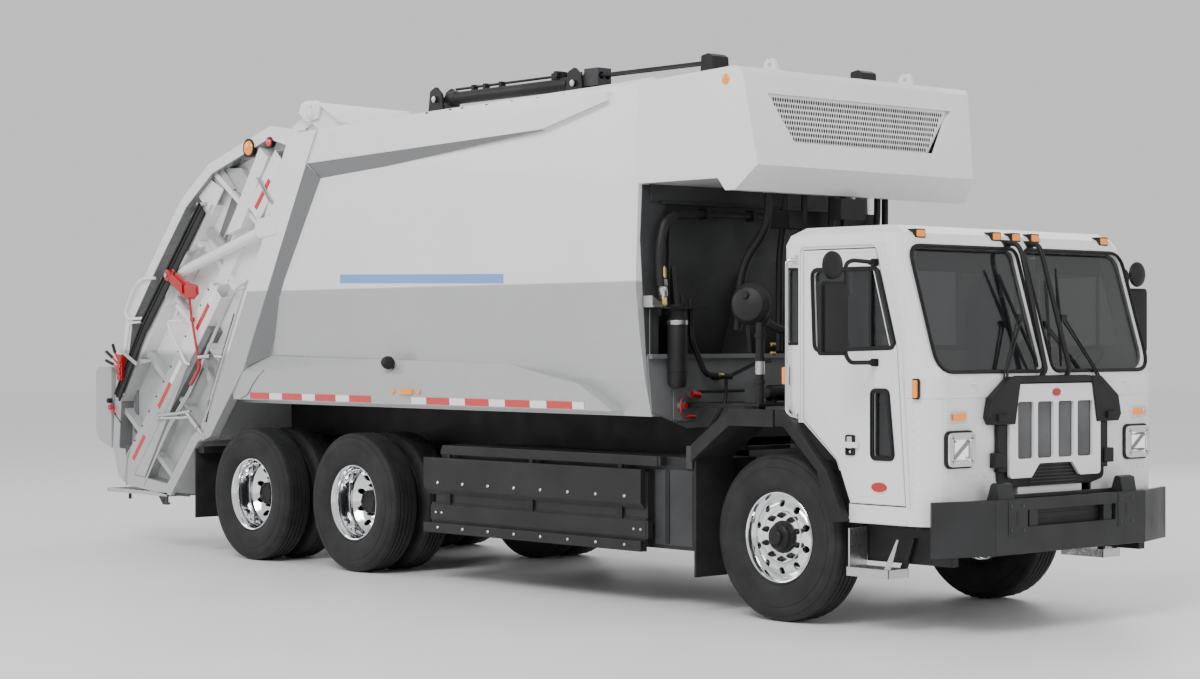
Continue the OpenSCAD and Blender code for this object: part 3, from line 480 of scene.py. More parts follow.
def holed_disc(s, at, dish, r0, r1, hole_at, hole_r, count=10, spin=0.0, depth=0.016):
    """A dished disc with round hand holes: each sector is bridged from its rim to its hole."""
    at = Vector(at)
    half = math.pi / count
    k = 6

    def put(r, a, back=0.0):
        return s.bm.verts.new(at + Vector((r * math.sin(a), -dish(r) + back, r * math.cos(a))))
    for c in range(count):
        mid = spin + 2 * half * c
        rim = [(r0, -half + 2 * half * i / k) for i in range(k)]
        rim += [(r0 + (r1 - r0) * i / k, half) for i in range(k)]
        rim += [(r1, half - 2 * half * i / k) for i in range(k)]
        rim += [(r1 - (r1 - r0) * i / k, -half) for i in range(k)]
        hole = []
        for r, a in rim:
            t = math.atan2((r - (r0 + r1) / 2) / (r1 - r0), a / (2 * half))
            hx, hz = hole_r * math.cos(t), hole_at + hole_r * math.sin(t)
            hole.append((math.hypot(hx, hz), math.atan2(hx, hz)))
        outer = [put(r, mid + a) for r, a in rim]
        inner = [put(r, mid + a) for r, a in hole]
        deep = [put(r, mid + a, depth) for r, a in hole]
        n = len(rim)
        for i in range(n):
            j = (i + 1) % n
            s.bm.faces.new((outer[i], outer[j], inner[j], inner[i]))
            s.bm.faces.new((inner[i], inner[j], deep[j], deep[i]))
    bmesh.ops.remove_doubles(s.bm, verts=s.bm.verts[:], dist=1e-5)


def rim_barrel(h):
    """Lip, flange, drop and well of one rim, closed behind."""
    return [(0.2885, h - 0.006), (0.2975, h + 0.002), (0.2985, h + 0.008), (0.294, h + 0.0115),
            (0.286, h + 0.008),
            (0.279, h - 0.004), (0.272, h - 0.022), (0.264, h - 0.04), (0.262, -h + 0.02), (0.272,
                    -h - 0.004),
            (0.286, -h - 0.006), (0.288, -h), (0.27, -h + 0.02), (0.27, h - 0.05), (0.28, h - 0.02)]


def nuts(s, at, ring, count, r, h, spin=0.0):
    at = Vector(at)
    for i in range(count):
        a = spin + 2 * math.pi * i / count
        p = at + Vector((ring * math.sin(a), 0, ring * math.cos(a)))
        s.lathe([(0, 0), (r * 1.35, 0), (r * 1.35, h * 0.16), (r, h * 0.2), (r, h * 0.8), (r * 0.72, h),
                (0, h)], p, (0, -1, 0), 6)
        s.lathe([(r * 0.45, h), (r * 0.45, h * 1.35), (0, h * 1.4)], p, (0, -1, 0), 10)


def front_rim(name, side, body, node):
    at = (0, -FRONT_Y, TYRE_R)
    h = FRONT_TYRE_W / 2 - 0.042

    def dish(r):
        t = (r - 0.16) / (0.263 - 0.16)
        return 0.074 + 0.012 * math.sin(min(1, max(0, t)) * math.pi) - 0.03 * max(0, t) ** 3
    s = Shape()
    s.lathe(rim_barrel(h), at, (0, -1, 0), 96, closed=True)
    holed_disc(s, at, dish, 0.172, 0.263, 0.219, 0.024)
    s.lathe([(0.1725, 0.0745), (0.166, 0.083), (0.12, 0.083), (0.104, 0.078), (0.104, 0.05)], at,
            (0, -1, 0), 80)
    s.done(name + "_rim", "alloy", body, "polished_aluminium", (node,), bevel=0, side=side)
    n = Shape()
    nuts(n, (0, -FRONT_Y - 0.083, TYRE_R), 0.1425, 10, 0.0165, 0.03)
    n.done(name + "_nuts", "plastic", body, "plastic_black", bevel=0.001, side=side)
    c = Shape()
    c.lathe([(0.104, 0.05), (0.103, 0.086), (0.098, 0.092), (0.088, 0.094), (0.086, 0.118), (0.078, 0.126),
             (0.05, 0.128), (0.047, 0.146), (0.04, 0.151), (0, 0.152)], at, (0, -1, 0), 48)
    for i in range(5):
        a = 2 * math.pi * i / 5
        c.bolt((0.068 * math.sin(a), -FRONT_Y - 0.126, TYRE_R + 0.068 * math.cos(a)), (0, -1, 0), 0.008,
                0.006)
    c.done(name + "_hub", "plastic", body, "plastic_black", bevel=0, side=side)


def rear_rims(name, x, side, body, node):
    h = REAR_TYRE_W / 2 - 0.042
    mid = OUTER_Y - PAIR_PITCH / 2
    s = Shape()
    for y in (OUTER_Y, OUTER_Y - PAIR_PITCH):
        s.lathe(rim_barrel(h), (x, -y, TYRE_R), (0, -1, 0), 96, closed=True)

    def dish(r):
        t = min(1, max(0, (r - 0.18) / (0.263 - 0.18)))
        return 0.012 + 0.075 * t ** 1.6
    holed_disc(s, (x, -mid, TYRE_R), dish, 0.172, 0.2635, 0.219, 0.024)
    s.lathe([(0.1725, 0.0125), (0.165, 0.018), (0.11, 0.018), (0.104, 0.0)], (x, -mid, TYRE_R), (0, -1, 0),
            80)
    s.lathe([(0.172, -0.02), (0.21, -0.05), (0.2635, -0.1), (0.262, -0.11), (0.2, -0.06), (0.11, -0.03)],
            (x, -mid, TYRE_R), (0, -1, 0), 80)
    s.done(name + "_rims", "alloy", body, "polished_aluminium", (node,), bevel=0, side=side)
    n = Shape()
    nuts(n, (x, -mid - 0.018, TYRE_R), 0.1425, 10, 0.0165, 0.036, 0.1)
    n.lathe([(0.104, 0.0), (0.104, 0.05), (0.1, 0.056), (0.092, 0.06), (0.09, 0.128), (0.084, 0.136),
             (0.062, 0.138), (0.058, 0.132), (0, 0.132)], (x, -mid, TYRE_R), (0, -1, 0), 48)
    for i in range(8):
        a = 2 * math.pi * i / 8
        n.bolt((x + 0.073 * math.sin(a), -mid - 0.137, TYRE_R + 0.073 * math.cos(a)), (0, -1, 0), 0.008,
                0.007)
    n.done(name + "_hub", "plastic", body, "plastic_black", bevel=0, side=side)


def wheels():
    for word, side in SIDES:
        body = "front_wheel_" + word
        tyres("front_tyre_" + word, 0, [FRONT_Y], FRONT_TYRE_W, body, "tyre_front_" + word, side)
        front_rim("front_" + word, side, body, "wheel_front_" + word)
        for k, x in enumerate(DRIVE_X, 1):
            body = "rear_wheels_%d_%s" % (k, word)
            tyres("drive%d_tyres_%s" % (k, word), x, [OUTER_Y, OUTER_Y - PAIR_PITCH], REAR_TYRE_W, body,
                  "tyres_drive%d_%s" % (k, word), side)
            rear_rims("drive%d_%s" % (k, word), x, side, body, "wheels_drive%d_%s" % (k, word))


# ---------- cab ----------
DOOR = [(1.112, 0.808), (1.046, 1.77), (0.868, 2.4), (0.27, 2.4), (0.27, 1.322), (0.553, 1.077),
        (0.664, 0.808)]
WINDOW = rounded([(1.024, 1.79), (0.884, 2.268), (0.345, 2.268), (0.365, 1.772)], [0.03, 0.03, 0.04, 0.04])
LOW_WINDOW = rounded([(1.012, 1.1), (0.968, 1.51), (0.85, 1.51), (0.85, 1.1)], 0.025)
WINDSHIELD = rounded([(0.048, 1.64), (1.092, 1.64), (1.092, 2.41), (0.048, 2.41)], [0.05, 0.13, 0.1, 0.05])
QUARTER = rounded([(0.118, 1.81), (0.22, 1.81), (0.22, 2.28), (0.118, 2.28)], 0.02)


def lean_back(s, start=0):
    """Moves what was drawn flat at x = 0 onto the leaning front."""
    s.bm.verts.ensure_lookup_table()
    for v in s.bm.verts[start:]:
        v.co.x += front_x(v.co.z)
    return s


def gasket(s, line, axis, base, out, lip=0.018, into=0.004):
    """A rubber seal round an opening: a flat lip and a raised bead."""
    s.ring_prism(grown(line, lip), grown(line, -into), axis, base, out)
    mid = (base + out) / 2
    s.ring_prism(grown(line, lip * 0.72), grown(line, lip * 0.25), axis, mid, out + (out - base) * 0.45)


def cab_front():
    s = Shape()
    for sg in (1, -1):
        line = [(sg * y, z) for y, z in WINDSHIELD]
        gasket(s, line, "x", -0.006, 0.007, 0.02)
    lean_back(s)
    s.done("windshield_seals", "hose", "cab", "plastic_black", bevel=0.002)
    # band below the windshield, wrapped round both corners
    line = [(0.2 + 0.912, -CAB_HALF), (1.16, -CAB_HALF)]
    line += [(1.155 + 0.155 * math.sin(a),
            -1.035 - 0.155 * math.cos(a)) for a in (math.pi / 2 * i / 8 for i in range(1, 9))]
    line += [(x, -y) for x, y in line[::-1]]
    out = [Vector(p) for p in line]
    n = len(out)
    norms = []
    for i in range(n):
        d = (out[min(i + 1, n - 1)] - out[max(i - 1, 0)]).normalized()
        norms.append(Vector((d.y, -d.x)))
    b = Shape()
    outer = [tuple(p + m * 0.006) for p, m in zip(out, norms)]
    inner = [tuple(p - m * 0.002) for p, m in zip(out, norms)]
    b.prism(outer + inner[::-1], "z", 1.472, 1.599)
    b.done("cab_belt_band", "white", "cab", "white_paint", bevel=0.003)
    r = Shape()
    for sg in (1, -1):
        r.rivets((front_x(1.5) + 0.001, sg * 1.02, 0.985), (front_x(1.5) + 0.001, sg * 0.6, 0.985), 7,
                (1, 0, 0))
        r.rivets((1.17, sg * CAB_HALF, 0.78), (1.17, sg * CAB_HALF, 1.44), 13, (0, sg, 0))
        r.rivets((1.13, sg * CAB_HALF, 1.66), (0.95, sg * CAB_HALF, 2.36), 13, (0, sg, 0))
        r.rivets((0.12, sg * CAB_HALF, 2.425), (0.86, sg * CAB_HALF, 2.425), 12, (0, sg, 0))
    r.done("cab_rivets", "white", "cab", "white_paint", bevel=0)
    h = Shape()
    for sg in (1, -1):
        h.prism([(1.308, sg * 0.755), (1.318, sg * 0.755), (1.318, sg * 0.815), (1.308, sg * 0.815)], "z",
                1.545, 1.6)
        h.prism([(1.316, sg * 0.765), (1.35, sg * 0.765), (1.35, sg * 0.805), (1.316, sg * 0.805)], "z",
                1.555, 1.572)
    h.done("cab_front_hooks", "white", "cab", "white_paint", bevel=0.004)


def lamps():
    bez, glow, turn, amber, seat = Shape(), Shape(), Shape(), Shape(), Shape()
    for sg in (1, -1):
        def q(y0, y1, z0, z1, r):
            return rounded([(sg * y0, z0), (sg * y1, z0), (sg * y1, z1), (sg * y0, z1)], r)
        big = q(0.795, 1.045, 1.05, 1.26, 0.035)
        seat.ring_prism(grown(big, 0.012), grown(big, -0.06), "x", 1.306, 1.322)
        bez.ring_prism(big, grown(big, -0.036), "x", 1.312, 1.346)
        bez.ring_prism(grown(big, -0.036), grown(big, -0.044), "x", 1.32, 1.338)
        glow.prism(grown(big, -0.04), "x", 1.318, 1.33)
        glow.prism(grown(big, -0.06), "x", 1.33, 1.334)
        small = q(0.86, 1.035, 1.318, 1.392, 0.03)
        bez.ring_prism(small, grown(small, -0.018), "x", 1.309, 1.33)
        bez.prism(grown(small, -0.01), "x", 1.309, 1.316)
        turn.prism(rounded([(sg * 0.875, 1.332), (sg * 0.985, 1.332), (sg * 0.985, 1.378),
                (sg * 0.875, 1.378)], 0.015), "x", 1.315, 1.334)
    seat.done("headlamp_seats", "plastic", "cab", "plastic_black", bevel=0.002)
    bez.done("lamp_bezels", "chrome", "cab", "lamp_chrome", ("front_lamps",), bevel=0.004, segments=3)
    glow.done("headlamp_lenses", "clear_lens", "cab", "lamp_chrome", bevel=0.003)
    for y in (-0.955, -0.2, 0, 0.2, 0.955):
        z = 2.497
        x = front_x(z) - 0.02
        turn.prism(rounded([(y - 0.036, z - 0.022), (y + 0.036, z - 0.022), (y + 0.036, z + 0.02),
                (y - 0.036, z + 0.02)], 0.008), "x", x - 0.03, x + 0.026)
        amber.ring_prism(rounded([(y - 0.05, z - 0.032), (y + 0.05, z - 0.032), (y + 0.05, z + 0.028),
                (y - 0.05, z + 0.028)], 0.012),
                         rounded([(y - 0.036, z - 0.022), (y + 0.036, z - 0.022), (y + 0.036, z + 0.02),
                                 (y - 0.036, z + 0.02)], 0.008),
                         "x", x - 0.05, x + 0.018)
    for sg in (1, -1):
        for x, z in ((1.205, 1.53), (0.115, 1.6)):
            turn.prism(rounded([(x - 0.018, z - 0.055), (x + 0.018, z - 0.055), (x + 0.018, z + 0.055),
                    (x - 0.018, z + 0.055)], 0.012),
                       "y", sg * 1.196, sg * 1.216)
            amber.ring_prism(rounded([(x - 0.027, z - 0.064), (x + 0.027, z - 0.064),
                    (x + 0.027, z + 0.064), (x - 0.027, z + 0.064)], 0.016),
                             rounded([(x - 0.018, z - 0.055), (x + 0.018, z - 0.055),
                                     (x + 0.018, z + 0.055), (x - 0.018, z + 0.055)], 0.012),
                             "y", sg * 1.19, sg * 1.206)
    turn.done("cab_amber_lenses", "amber", "cab", "lamp_chrome", bevel=0.003)
    amber.done("cab_lamp_bases", "plastic", "cab", "plastic_black", bevel=0.002)


def grille():
    line = [(-0.17, 1.047), (-0.253, 0.96), (-0.475, 0.96), (-0.475, 1.35), (-0.388, 1.552),
            (0.388, 1.552), (0.475, 1.35), (0.475, 0.96), (0.253, 0.96), (0.17, 1.047)]
    radii = [0.02, 0.02, 0.03, 0.04, 0.03, 0.03, 0.04, 0.03, 0.02, 0.02]
    line = rounded(line, radii, 4)
    slots = [rounded([(y - 0.0825, 1.08), (y + 0.0825, 1.08), (y + 0.0825, 1.44), (y - 0.0825, 1.44)], 0.02,
            4)
             for y in (-0.31, -0.107, 0.107, 0.31)]
    s = Shape()
    bm = s.bm
    loops = []
    for out in [line] + slots:
        vs = [bm.verts.new((1.358, y, z)) for y, z in out]
        loops.append([bm.edges.new((vs[i - 1], vs[i])) for i in range(len(vs))])
    edges = [e for l in loops for e in l]
    bmesh.ops.triangle_fill(bm, use_beauty=True, use_dissolve=False, edges=edges)
    front = bm.faces[:]
    back = bmesh.ops.extrude_face_region(bm, geom=front)["geom"]
    for v in (g for g in back if isinstance(g, bmesh.types.BMVert)):
        v.co.x -= 0.02
    s.done("grille_plate", "white", "cab", "white_paint", ("grille_panel",), bevel=0.004, segments=3)
    # expanded mesh behind the four slots
    g = Shape()
    for y in (-0.31, -0.107, 0.107, 0.31):
        step, r = 0.0165, 0.0026
        y0, y1, z0, z1 = y - 0.086, y + 0.086, 1.076, 1.444
        for k in range(-24, 30):
            for d in (1, -1):
                zc = z0 + k * step
                pts = []
                for yy in (y0, y1):
                    pts.append((yy, zc + (yy - y0) * 1.5 * d + (0 if d > 0 else 0.26)))
                (ya, za), (yb, zb) = pts
                t0, t1 = 0.0, 1.0
                for lim, sign in ((z0, 1), (z1, -1)):
                    a, b = sign * (za - lim), sign * (zb - lim)
                    if a < 0 and b < 0:
                        t1 = -1
                    elif a < 0:
                        t0 = max(t0, a / (a - b))
                    elif b < 0:
                        t1 = min(t1, a / (a - b))
                if t1 - t0 < 0.02:
                    continue
                p0 = (ya + (yb - ya) * t0, za + (zb - za) * t0)
                p1 = (ya + (yb - ya) * t1, za + (zb - za) * t1)
                u = (Vector(p1) - Vector(p0)).normalized()
                w = Vector((-u.y, u.x)) * r
                x = 1.332 + 0.001 * d
                quad = [tuple(Vector(p0) + w), tuple(Vector(p1) + w), tuple(Vector(p1) - w),
                        tuple(Vector(p0) - w)]
                g.prism(quad, "x", x - 0.0015, x + 0.0015)
    g.done("grille_mesh", "grey_steel", "cab", "lamp_chrome", bevel=0)
    k = Shape()
    outer = rounded([(-0.42, 0.9), (-0.56, 0.93), (-0.56, 1.34), (-0.4, 1.605), (0.4, 1.605), (0.56, 1.34),
            (0.56, 0.93), (0.42, 0.9)], 0.05, 4)
    k.prism(outer, "x", 1.3105, 1.326)
    for sg in (1, -1):
        # moulded air guides at the upper corners, which the wipers park over
        k.prism([(sg * 0.43, 1.3), (sg * 0.66, 1.3), (sg * 0.69, 1.345), (sg * 0.66, 1.47),
                (sg * 0.47, 1.6), (sg * 0.37, 1.6)], "x", 1.312, 1.372)
        k.prism([(sg * 0.48, 1.00), (sg * 0.575, 1.00), (sg * 0.575, 1.3), (sg * 0.48, 1.3)], "x", 1.312,
                1.345)
        k.prism([(sg * 0.52, 1.03), (sg * 0.62, 1.03), (sg * 0.62, 1.125), (sg * 0.52, 1.125)], "x", 1.312,
                1.362)
    k.prism([(-0.39, 1.56), (0.39, 1.56), (0.36, 1.604), (-0.36, 1.604)], "x", 1.312, 1.368)
    k.done("grille_frame", "plastic", "cab", "plastic_black", ("grille_surround",), bevel=0.01, segments=3)
    f = Shape()
    for i in range(7):
        z = 0.902 + 0.022 * i
        f.block(1.312, 1.334, -0.24, 0.24, z, z + 0.007)
    f.done("radiator_fins", "dark", "cab", "plastic_black", bevel=0.001)


def ovals():
    ring, face = Shape(), Shape()

    def oval(u, v, a, b, n=32):
        return [(u + a * math.cos(t), v + b * math.sin(t)) for t in (2 * math.pi * i / n for i in range(n))]
    ring.ring_prism(oval(0, 1.497, 0.052, 0.03), oval(0, 1.497, 0.046, 0.0245), "x", 1.357, 1.3635)
    face.prism(oval(0, 1.497, 0.047, 0.0255), "x", 1.357, 1.3615)
    ring.done("front_oval_rim", "chrome", "cab", "lamp_chrome", bevel=0.0012)
    face.done("front_oval", "red", "cab", "red_paint", bevel=0.001)
    for word, side in SIDES:
        r, f = Shape(), Shape()
        r.ring_prism(oval(0.905, 0.915, 0.072, 0.036), oval(0.905, 0.915, 0.065, 0.03), "y", -1.189, -1.196)
        f.prism(oval(0.905, 0.915, 0.066, 0.031), "y", -1.189, -1.1945)
        r.done("door_oval_rim_" + word, "chrome", word + "_door", "lamp_chrome", bevel=0.0012, side=side)
        f.done("door_oval_" + word, "red", word + "_door", "red_paint", bevel=0.001, side=side)


def doors():
    for word, side in SIDES:
        body = word + "_door"
        keep("door_" + word, "white", 0.004)
        keep("door_glass_" + word, "glass", 0)
        g = Shape()
        gasket(g, WINDOW, "y", -1.186, -1.194, 0.022, 0.006)
        gasket(g, LOW_WINDOW, "y", -1.186, -1.198, 0.02, 0.01)
        g.block(0.815, 0.835, -1.188, -1.168, 1.79, 2.262)
        g.done("door_seals_" + word, "hose", body, "plastic_black", bevel=0.002, side=side)
        # pressed outer frame and the swage line below the window
        f = Shape()
        f.ring_prism(rounded(grown(DOOR, -0.004), 0.03, 4), rounded(grown(DOOR, -0.02), 0.03, 4), "y",
                -1.188, -1.1935)
        f.ring_prism(rounded(grown(DOOR, -0.045), 0.04, 4), rounded(grown(DOOR, -0.052), 0.04, 4), "y",
                -1.188, -1.192)
        f.done("door_frame_" + word, "white", body, "white_paint", bevel=0.002, side=side)
        h = Shape()
        pocket = rounded([(0.63, 1.105), (0.705, 1.105), (0.705, 1.235), (0.63, 1.235)], 0.014)
        h.ring_prism(pocket, grown(pocket, -0.012), "y", -1.189, -1.203)
        h.prism(grown(pocket, -0.008), "y", -1.186, -1.1915)
        h.done("door_handle_cup_" + word, "plastic", body, "plastic_black", bevel=0.003, side=side)
        c = Shape()
        c.prism(rounded([(0.646, 1.15), (0.688, 1.15), (0.688, 1.224), (0.646, 1.224)], 0.008), "y", -1.192,
                -1.206)
        c.lathe([(0, 0), (0.011, 0), (0.011, 0.006), (0.008, 0.008), (0, 0.008)], (0.667, -1.1915, 1.128),
                (0, -1, 0), 20)
        c.done("door_handle_" + word, "chrome", body, "lamp_chrome", bevel=0.003, side=side)


def mirrors():
    for word, side in SIDES:
        body = word + "_door"
        s = Shape()
        s.tube([(0.868, -1.192, 2.312), (0.868, -1.4, 2.322), (0.868, -1.462, 2.3), (0.868, -1.465, 1.74),
                (0.868, -1.42, 1.69), (0.868, -1.192, 1.69)], 0.0135, 14, 0.07, 6)
        s.tube([(0.868, -1.462, 2.262), (0.872, -1.54, 2.262), (0.872, -1.58, 2.275)], 0.01, 10, 0.03)
        for z in (2.312, 1.69):
            s.prism(rounded([(0.838, z - 0.024), (0.898, z - 0.024), (0.898, z + 0.024),
                    (0.838, z + 0.024)], 0.01), "y", -1.1895, -1.198)
            s.block(0.85, 0.886, -1.232, -1.196, z - 0.016, z + 0.016)
        for z in (1.8, 2.12):
            s.block(0.85, 0.886, -1.482, -1.448, z - 0.014, z + 0.014)
        head = rounded([(-1.455, 1.735), (-1.692, 1.735), (-1.692, 2.19), (-1.455, 2.19)], 0.03)
        s.prism(head, "x", 0.842, 0.872)
        s.prism(grown(head, -0.022), "x", 0.871, 0.888)
        s.lathe([(0, 0.034), (0.035, 0.032), (0.065, 0.024), (0.084, 0.01), (0.088, -0.004),
                (0.084, -0.012), (0, -0.012)],
                (0.868, -1.582, 2.288), (1, 0, 0), 40)
        s.done("mirror_housing_" + word, "plastic", body, "plastic_black", ("mirror_" + word,), bevel=0.004,
                segments=3, side=side)
        m = Shape()
        m.prism(grown(head, -0.012), "x", 0.8385, 0.8415)
        m.lathe([(0.079, 0.0), (0.055, 0.006), (0.03, 0.009), (0, 0.01)], (0.855, -1.582, 2.288),
                (-1, 0, 0), 40)
        m.done("mirror_glass_" + word, "mirror", body, "lamp_chrome", bevel=0.001, side=side)


def wipers():
    s = Shape()
    for sg in (1, -1):
        pts = [(1.34, sg * 0.13, 1.6), (1.372, sg * 0.125, 1.64), (1.165, sg * 0.105, 2.395),
               (1.13, sg * 0.11, 2.45), (1.035, sg * 0.118, 2.455)]
        s.tube(pts, 0.0165, 14, 0.07, 6)
        s.block(1.32, 1.365, sg * 0.13 - 0.03, sg * 0.13 + 0.03, 1.588, 1.606)
        s.block(1.03, 1.06, sg * 0.118 - 0.035, sg * 0.118 + 0.035, 2.425, 2.475)
        # pantograph arms parked towards the grille's corners
        a, b = (1.372, sg * 0.545, 1.345), (1.245, sg * 0.215, 1.965)
        s.tube([a, (1.33, sg * 0.47, 1.62), b], 0.008, 8, 0.1)
        s.tube([(1.372, sg * 0.6, 1.345), (1.33, sg * 0.5, 1.61), (1.24, sg * 0.235, 1.985)], 0.0065, 8,
                0.1)
        s.block(1.36, 1.39, sg * 0.57 - 0.05, sg * 0.57 + 0.05, 1.322, 1.365)
        s.block(1.232, 1.256, sg * 0.225 - 0.03, sg * 0.225 + 0.03, 1.952, 1.995)
        t = s.mark()
        s.tube([(0.024, sg * 0.13, 1.7), (0.03, sg * 0.225, 1.97), (0.024, sg * 0.3, 2.25)], 0.0055, 8,
                0.05)
        s.prism([(sg * 0.118, 1.66), (sg * 0.128, 1.66), (sg * 0.33, 2.3), (sg * 0.32, 2.3)], "x", 0.006,
                0.02)
        lean_back(s, t)
    s.done("wipers", "plastic", "cab", "plastic_black", ("wipers_and_braces",), bevel=0.0015)


def cab_sides():
    for word, side in SIDES:
        g = Shape()
        gasket(g, QUARTER, "y", -1.186, -1.194, 0.014, 0.004)
        g.done("quarter_seal_" + word, "hose", "cab", "plastic_black", bevel=0.002, side=side)
        r = Shape()
        r.tube([(0.215, -1.19, 2.345), (0.165, -1.24, 2.345), (0.165, -1.24, 1.35), (0.215, -1.19, 1.33)],
                0.0125, 12, 0.04)
        for z in (2.345, 1.335):
            r.block(0.2, 0.24, -1.2, -1.189, z - 0.03, z + 0.03)
        r.done("cab_grab_rail_" + word, "alloy", "cab", "polished_aluminium", bevel=0.002, side=side)
        t = Shape()
        # drip rail that follows the door's head and front pillar
        t.tube([(0.235, -1.196, 1.3), (0.235, -1.196, 2.43), (0.885, -1.196, 2.43), (1.085, -1.196, 1.775),
                (1.15, -1.196, 0.8)], 0.0075, 8, 0.05)
        t.prism([(0.612, 0.69), (1.13, 0.69), (1.13, 0.72), (0.64, 0.72)], "y", -1.189, -1.2)
        t.done("cab_drip_rail_" + word, "white", "cab", "white_paint", bevel=0.002, side=side)
    keep("cab_shell", "white", 0.006, 3)
    keep("cab_top", "white", 0.006, 3)
    keep("cab_glass", "glass", 0)


def fenders():
    """Black mudguard flares: the front half on the cab, the rear half on the frame."""
    outer = [(0.074, 1.38), (0.15, 1.38), (0.52, 1.01), (0.672, 0.69)]
    inner = [(0.535, 0.68), (0.44, 1.000), (0.15, 1.272), (0.074, 1.272)]
    for word, side in SIDES:
        s = Shape()
        s.prism(outer + inner, "y", -1.2, -1.262)
        mid = [tuple((Vector(a) * 2 + Vector(b)) / 3) for a, b in zip(outer, inner[::-1])]
        s.prism(outer + mid[::-1], "y", -1.191, -1.21)
        s.done("fender_front_" + word, "plastic", "cab", "plastic_black", ("cab_fenders",), bevel=0.008,
                segments=3, side=side)


def interior():
    for word, side in SIDES:
        s = Shape()
        y0, y1 = -1.005, -0.565
        s.prism(rounded([(0.165, 1.5), (0.64, 1.455), (0.665, 1.56), (0.185, 1.59)], 0.035), "y", y0, y1)
        s.prism(rounded([(0.15, 1.56), (0.275, 1.56), (0.245, 1.96), (0.225, 2.13), (0.155, 2.13),
                (0.135, 1.96)], 0.045), "y", y0 + 0.03, y1 - 0.03)
        s.prism(rounded([(0.15, 2.13), (0.225, 2.13), (0.225, 2.29), (0.16, 2.29)], 0.03), "y", y0 + 0.13,
                y1 - 0.13)
        s.block(0.2, 0.6, y0 + 0.05, y1 - 0.05, 1.4, 1.46)
        s.done("seat_" + word, "cloth", "cab", "seat_fabric", ("seats",) if side < 0 else (), bevel=0.022,
                segments=4, side=side)
    d = Shape()
    d.prism(rounded([(0.985, 1.365), (1.215, 1.365), (1.215, 1.56), (1.12, 1.6), (1.01, 1.56)], 0.03), "y",
            -1.08, 1.08)
    d.prism(rounded([(0.9, 1.535), (1.00, 1.535), (1.00, 1.62), (0.93, 1.62)], 0.02), "y", 0.56, 1.01)
    d.rod((0.985, 0.785, 1.56), (0.915, 0.785, 1.655), 0.034, 20)
    ax = Vector((0.985, 0.785, 1.56)) - Vector((0.915, 0.785, 1.655))
    d.lathe([(0.215 + 0.016 * math.cos(t),
            0.016 * math.sin(t)) for t in (2 * math.pi * i / 10 for i in range(10))],
            (0.915, 0.785, 1.655), ax, 48, closed=True)
    q = Vector((0, 0, 1)).rotation_difference(ax.normalized())
    for a in (90, 210, 330):
        p = Vector((0.915, 0.785, 1.655)) + q @ Vector((0.21 * math.cos(math.radians(a)),
                0.21 * math.sin(math.radians(a)), 0))
        d.rod((0.915, 0.785, 1.655), p, 0.014, 10)
    d.done("dashboard_and_wheel", "plastic", "cab", "plastic_black", ("dashboard",), bevel=0.006,
            segments=3)
    v = Shape()
    for sg in (1, -1):
        v.block(1.00, 1.02, sg * 0.25, sg * 0.95, 2.26, 2.4)
    v.block(0.145, 0.165, -0.62, 0.62, 1.76, 1.8)
    v.done("sun_visors", "plastic", "cab", "plastic_black", bevel=0.006)


def cab():
    cab_front()
    lamps()
    grille()
    ovals()
    doors()
    mirrors()
    wipers()
    cab_sides()
    fenders()
    interior()


# ---------- packer body ----------
def slab(s, pts, t):
    """A thin plate on a slanted face, t thick outward."""
    p = [Vector(v) for v in pts]
    n = (p[1] - p[0]).cross(p[-1] - p[0]).normalized()
    if n.y > 0:
        n = -n
    k = len(p)
    vs = [tuple(v - n * 0.003) for v in p] + [tuple(v + n * t) for v in p]
    fs = [tuple(range(k)), tuple(range(2 * k - 1, k - 1, -1))]
    fs += [(i, i + k, (i + 1) % k + k, (i + 1) % k) for i in range(k)]
    s.add(vs, fs)


def panel_y(x, z):
    """Half-width of the side panel, which runs inward towards the rear."""
    line = ((1.333, 1.078), (1.557, 1.135), (1.832, 1.18), (2.18, 1.22), (2.33, 1.22), (2.586, 1.196),
            (2.909, 1.176), (3.7, 1.165))
    for (z0, y0), (z1, y1) in zip(line, line[1:]):
        if z <= z1:
            y = y0 + (y1 - y0) * (z - z0) / (z1 - z0)
            break
    return y - 0.1 * (-1.27 - x) / 5.53


def chamfers():
    s = Shape()
    slab(s, [(-5.16, -1.2125, 3.249), (-6.049, -1.2125, 1.607), (-5.838, -1.101, 1.701),
            (-5.079, -1.101, 3.111)], 0.0016)
    slab(s, [(-5.166, -1.2005, 3.2495), (-5.079, -1.101, 3.1115), (-2.3, -1.15, 3.337),
            (-2.271, -1.2005, 3.3395)], 0.0016)
    s.both()
    s.done("chamfer_plates", "recess", "chassis", "white_paint", bevel=0)


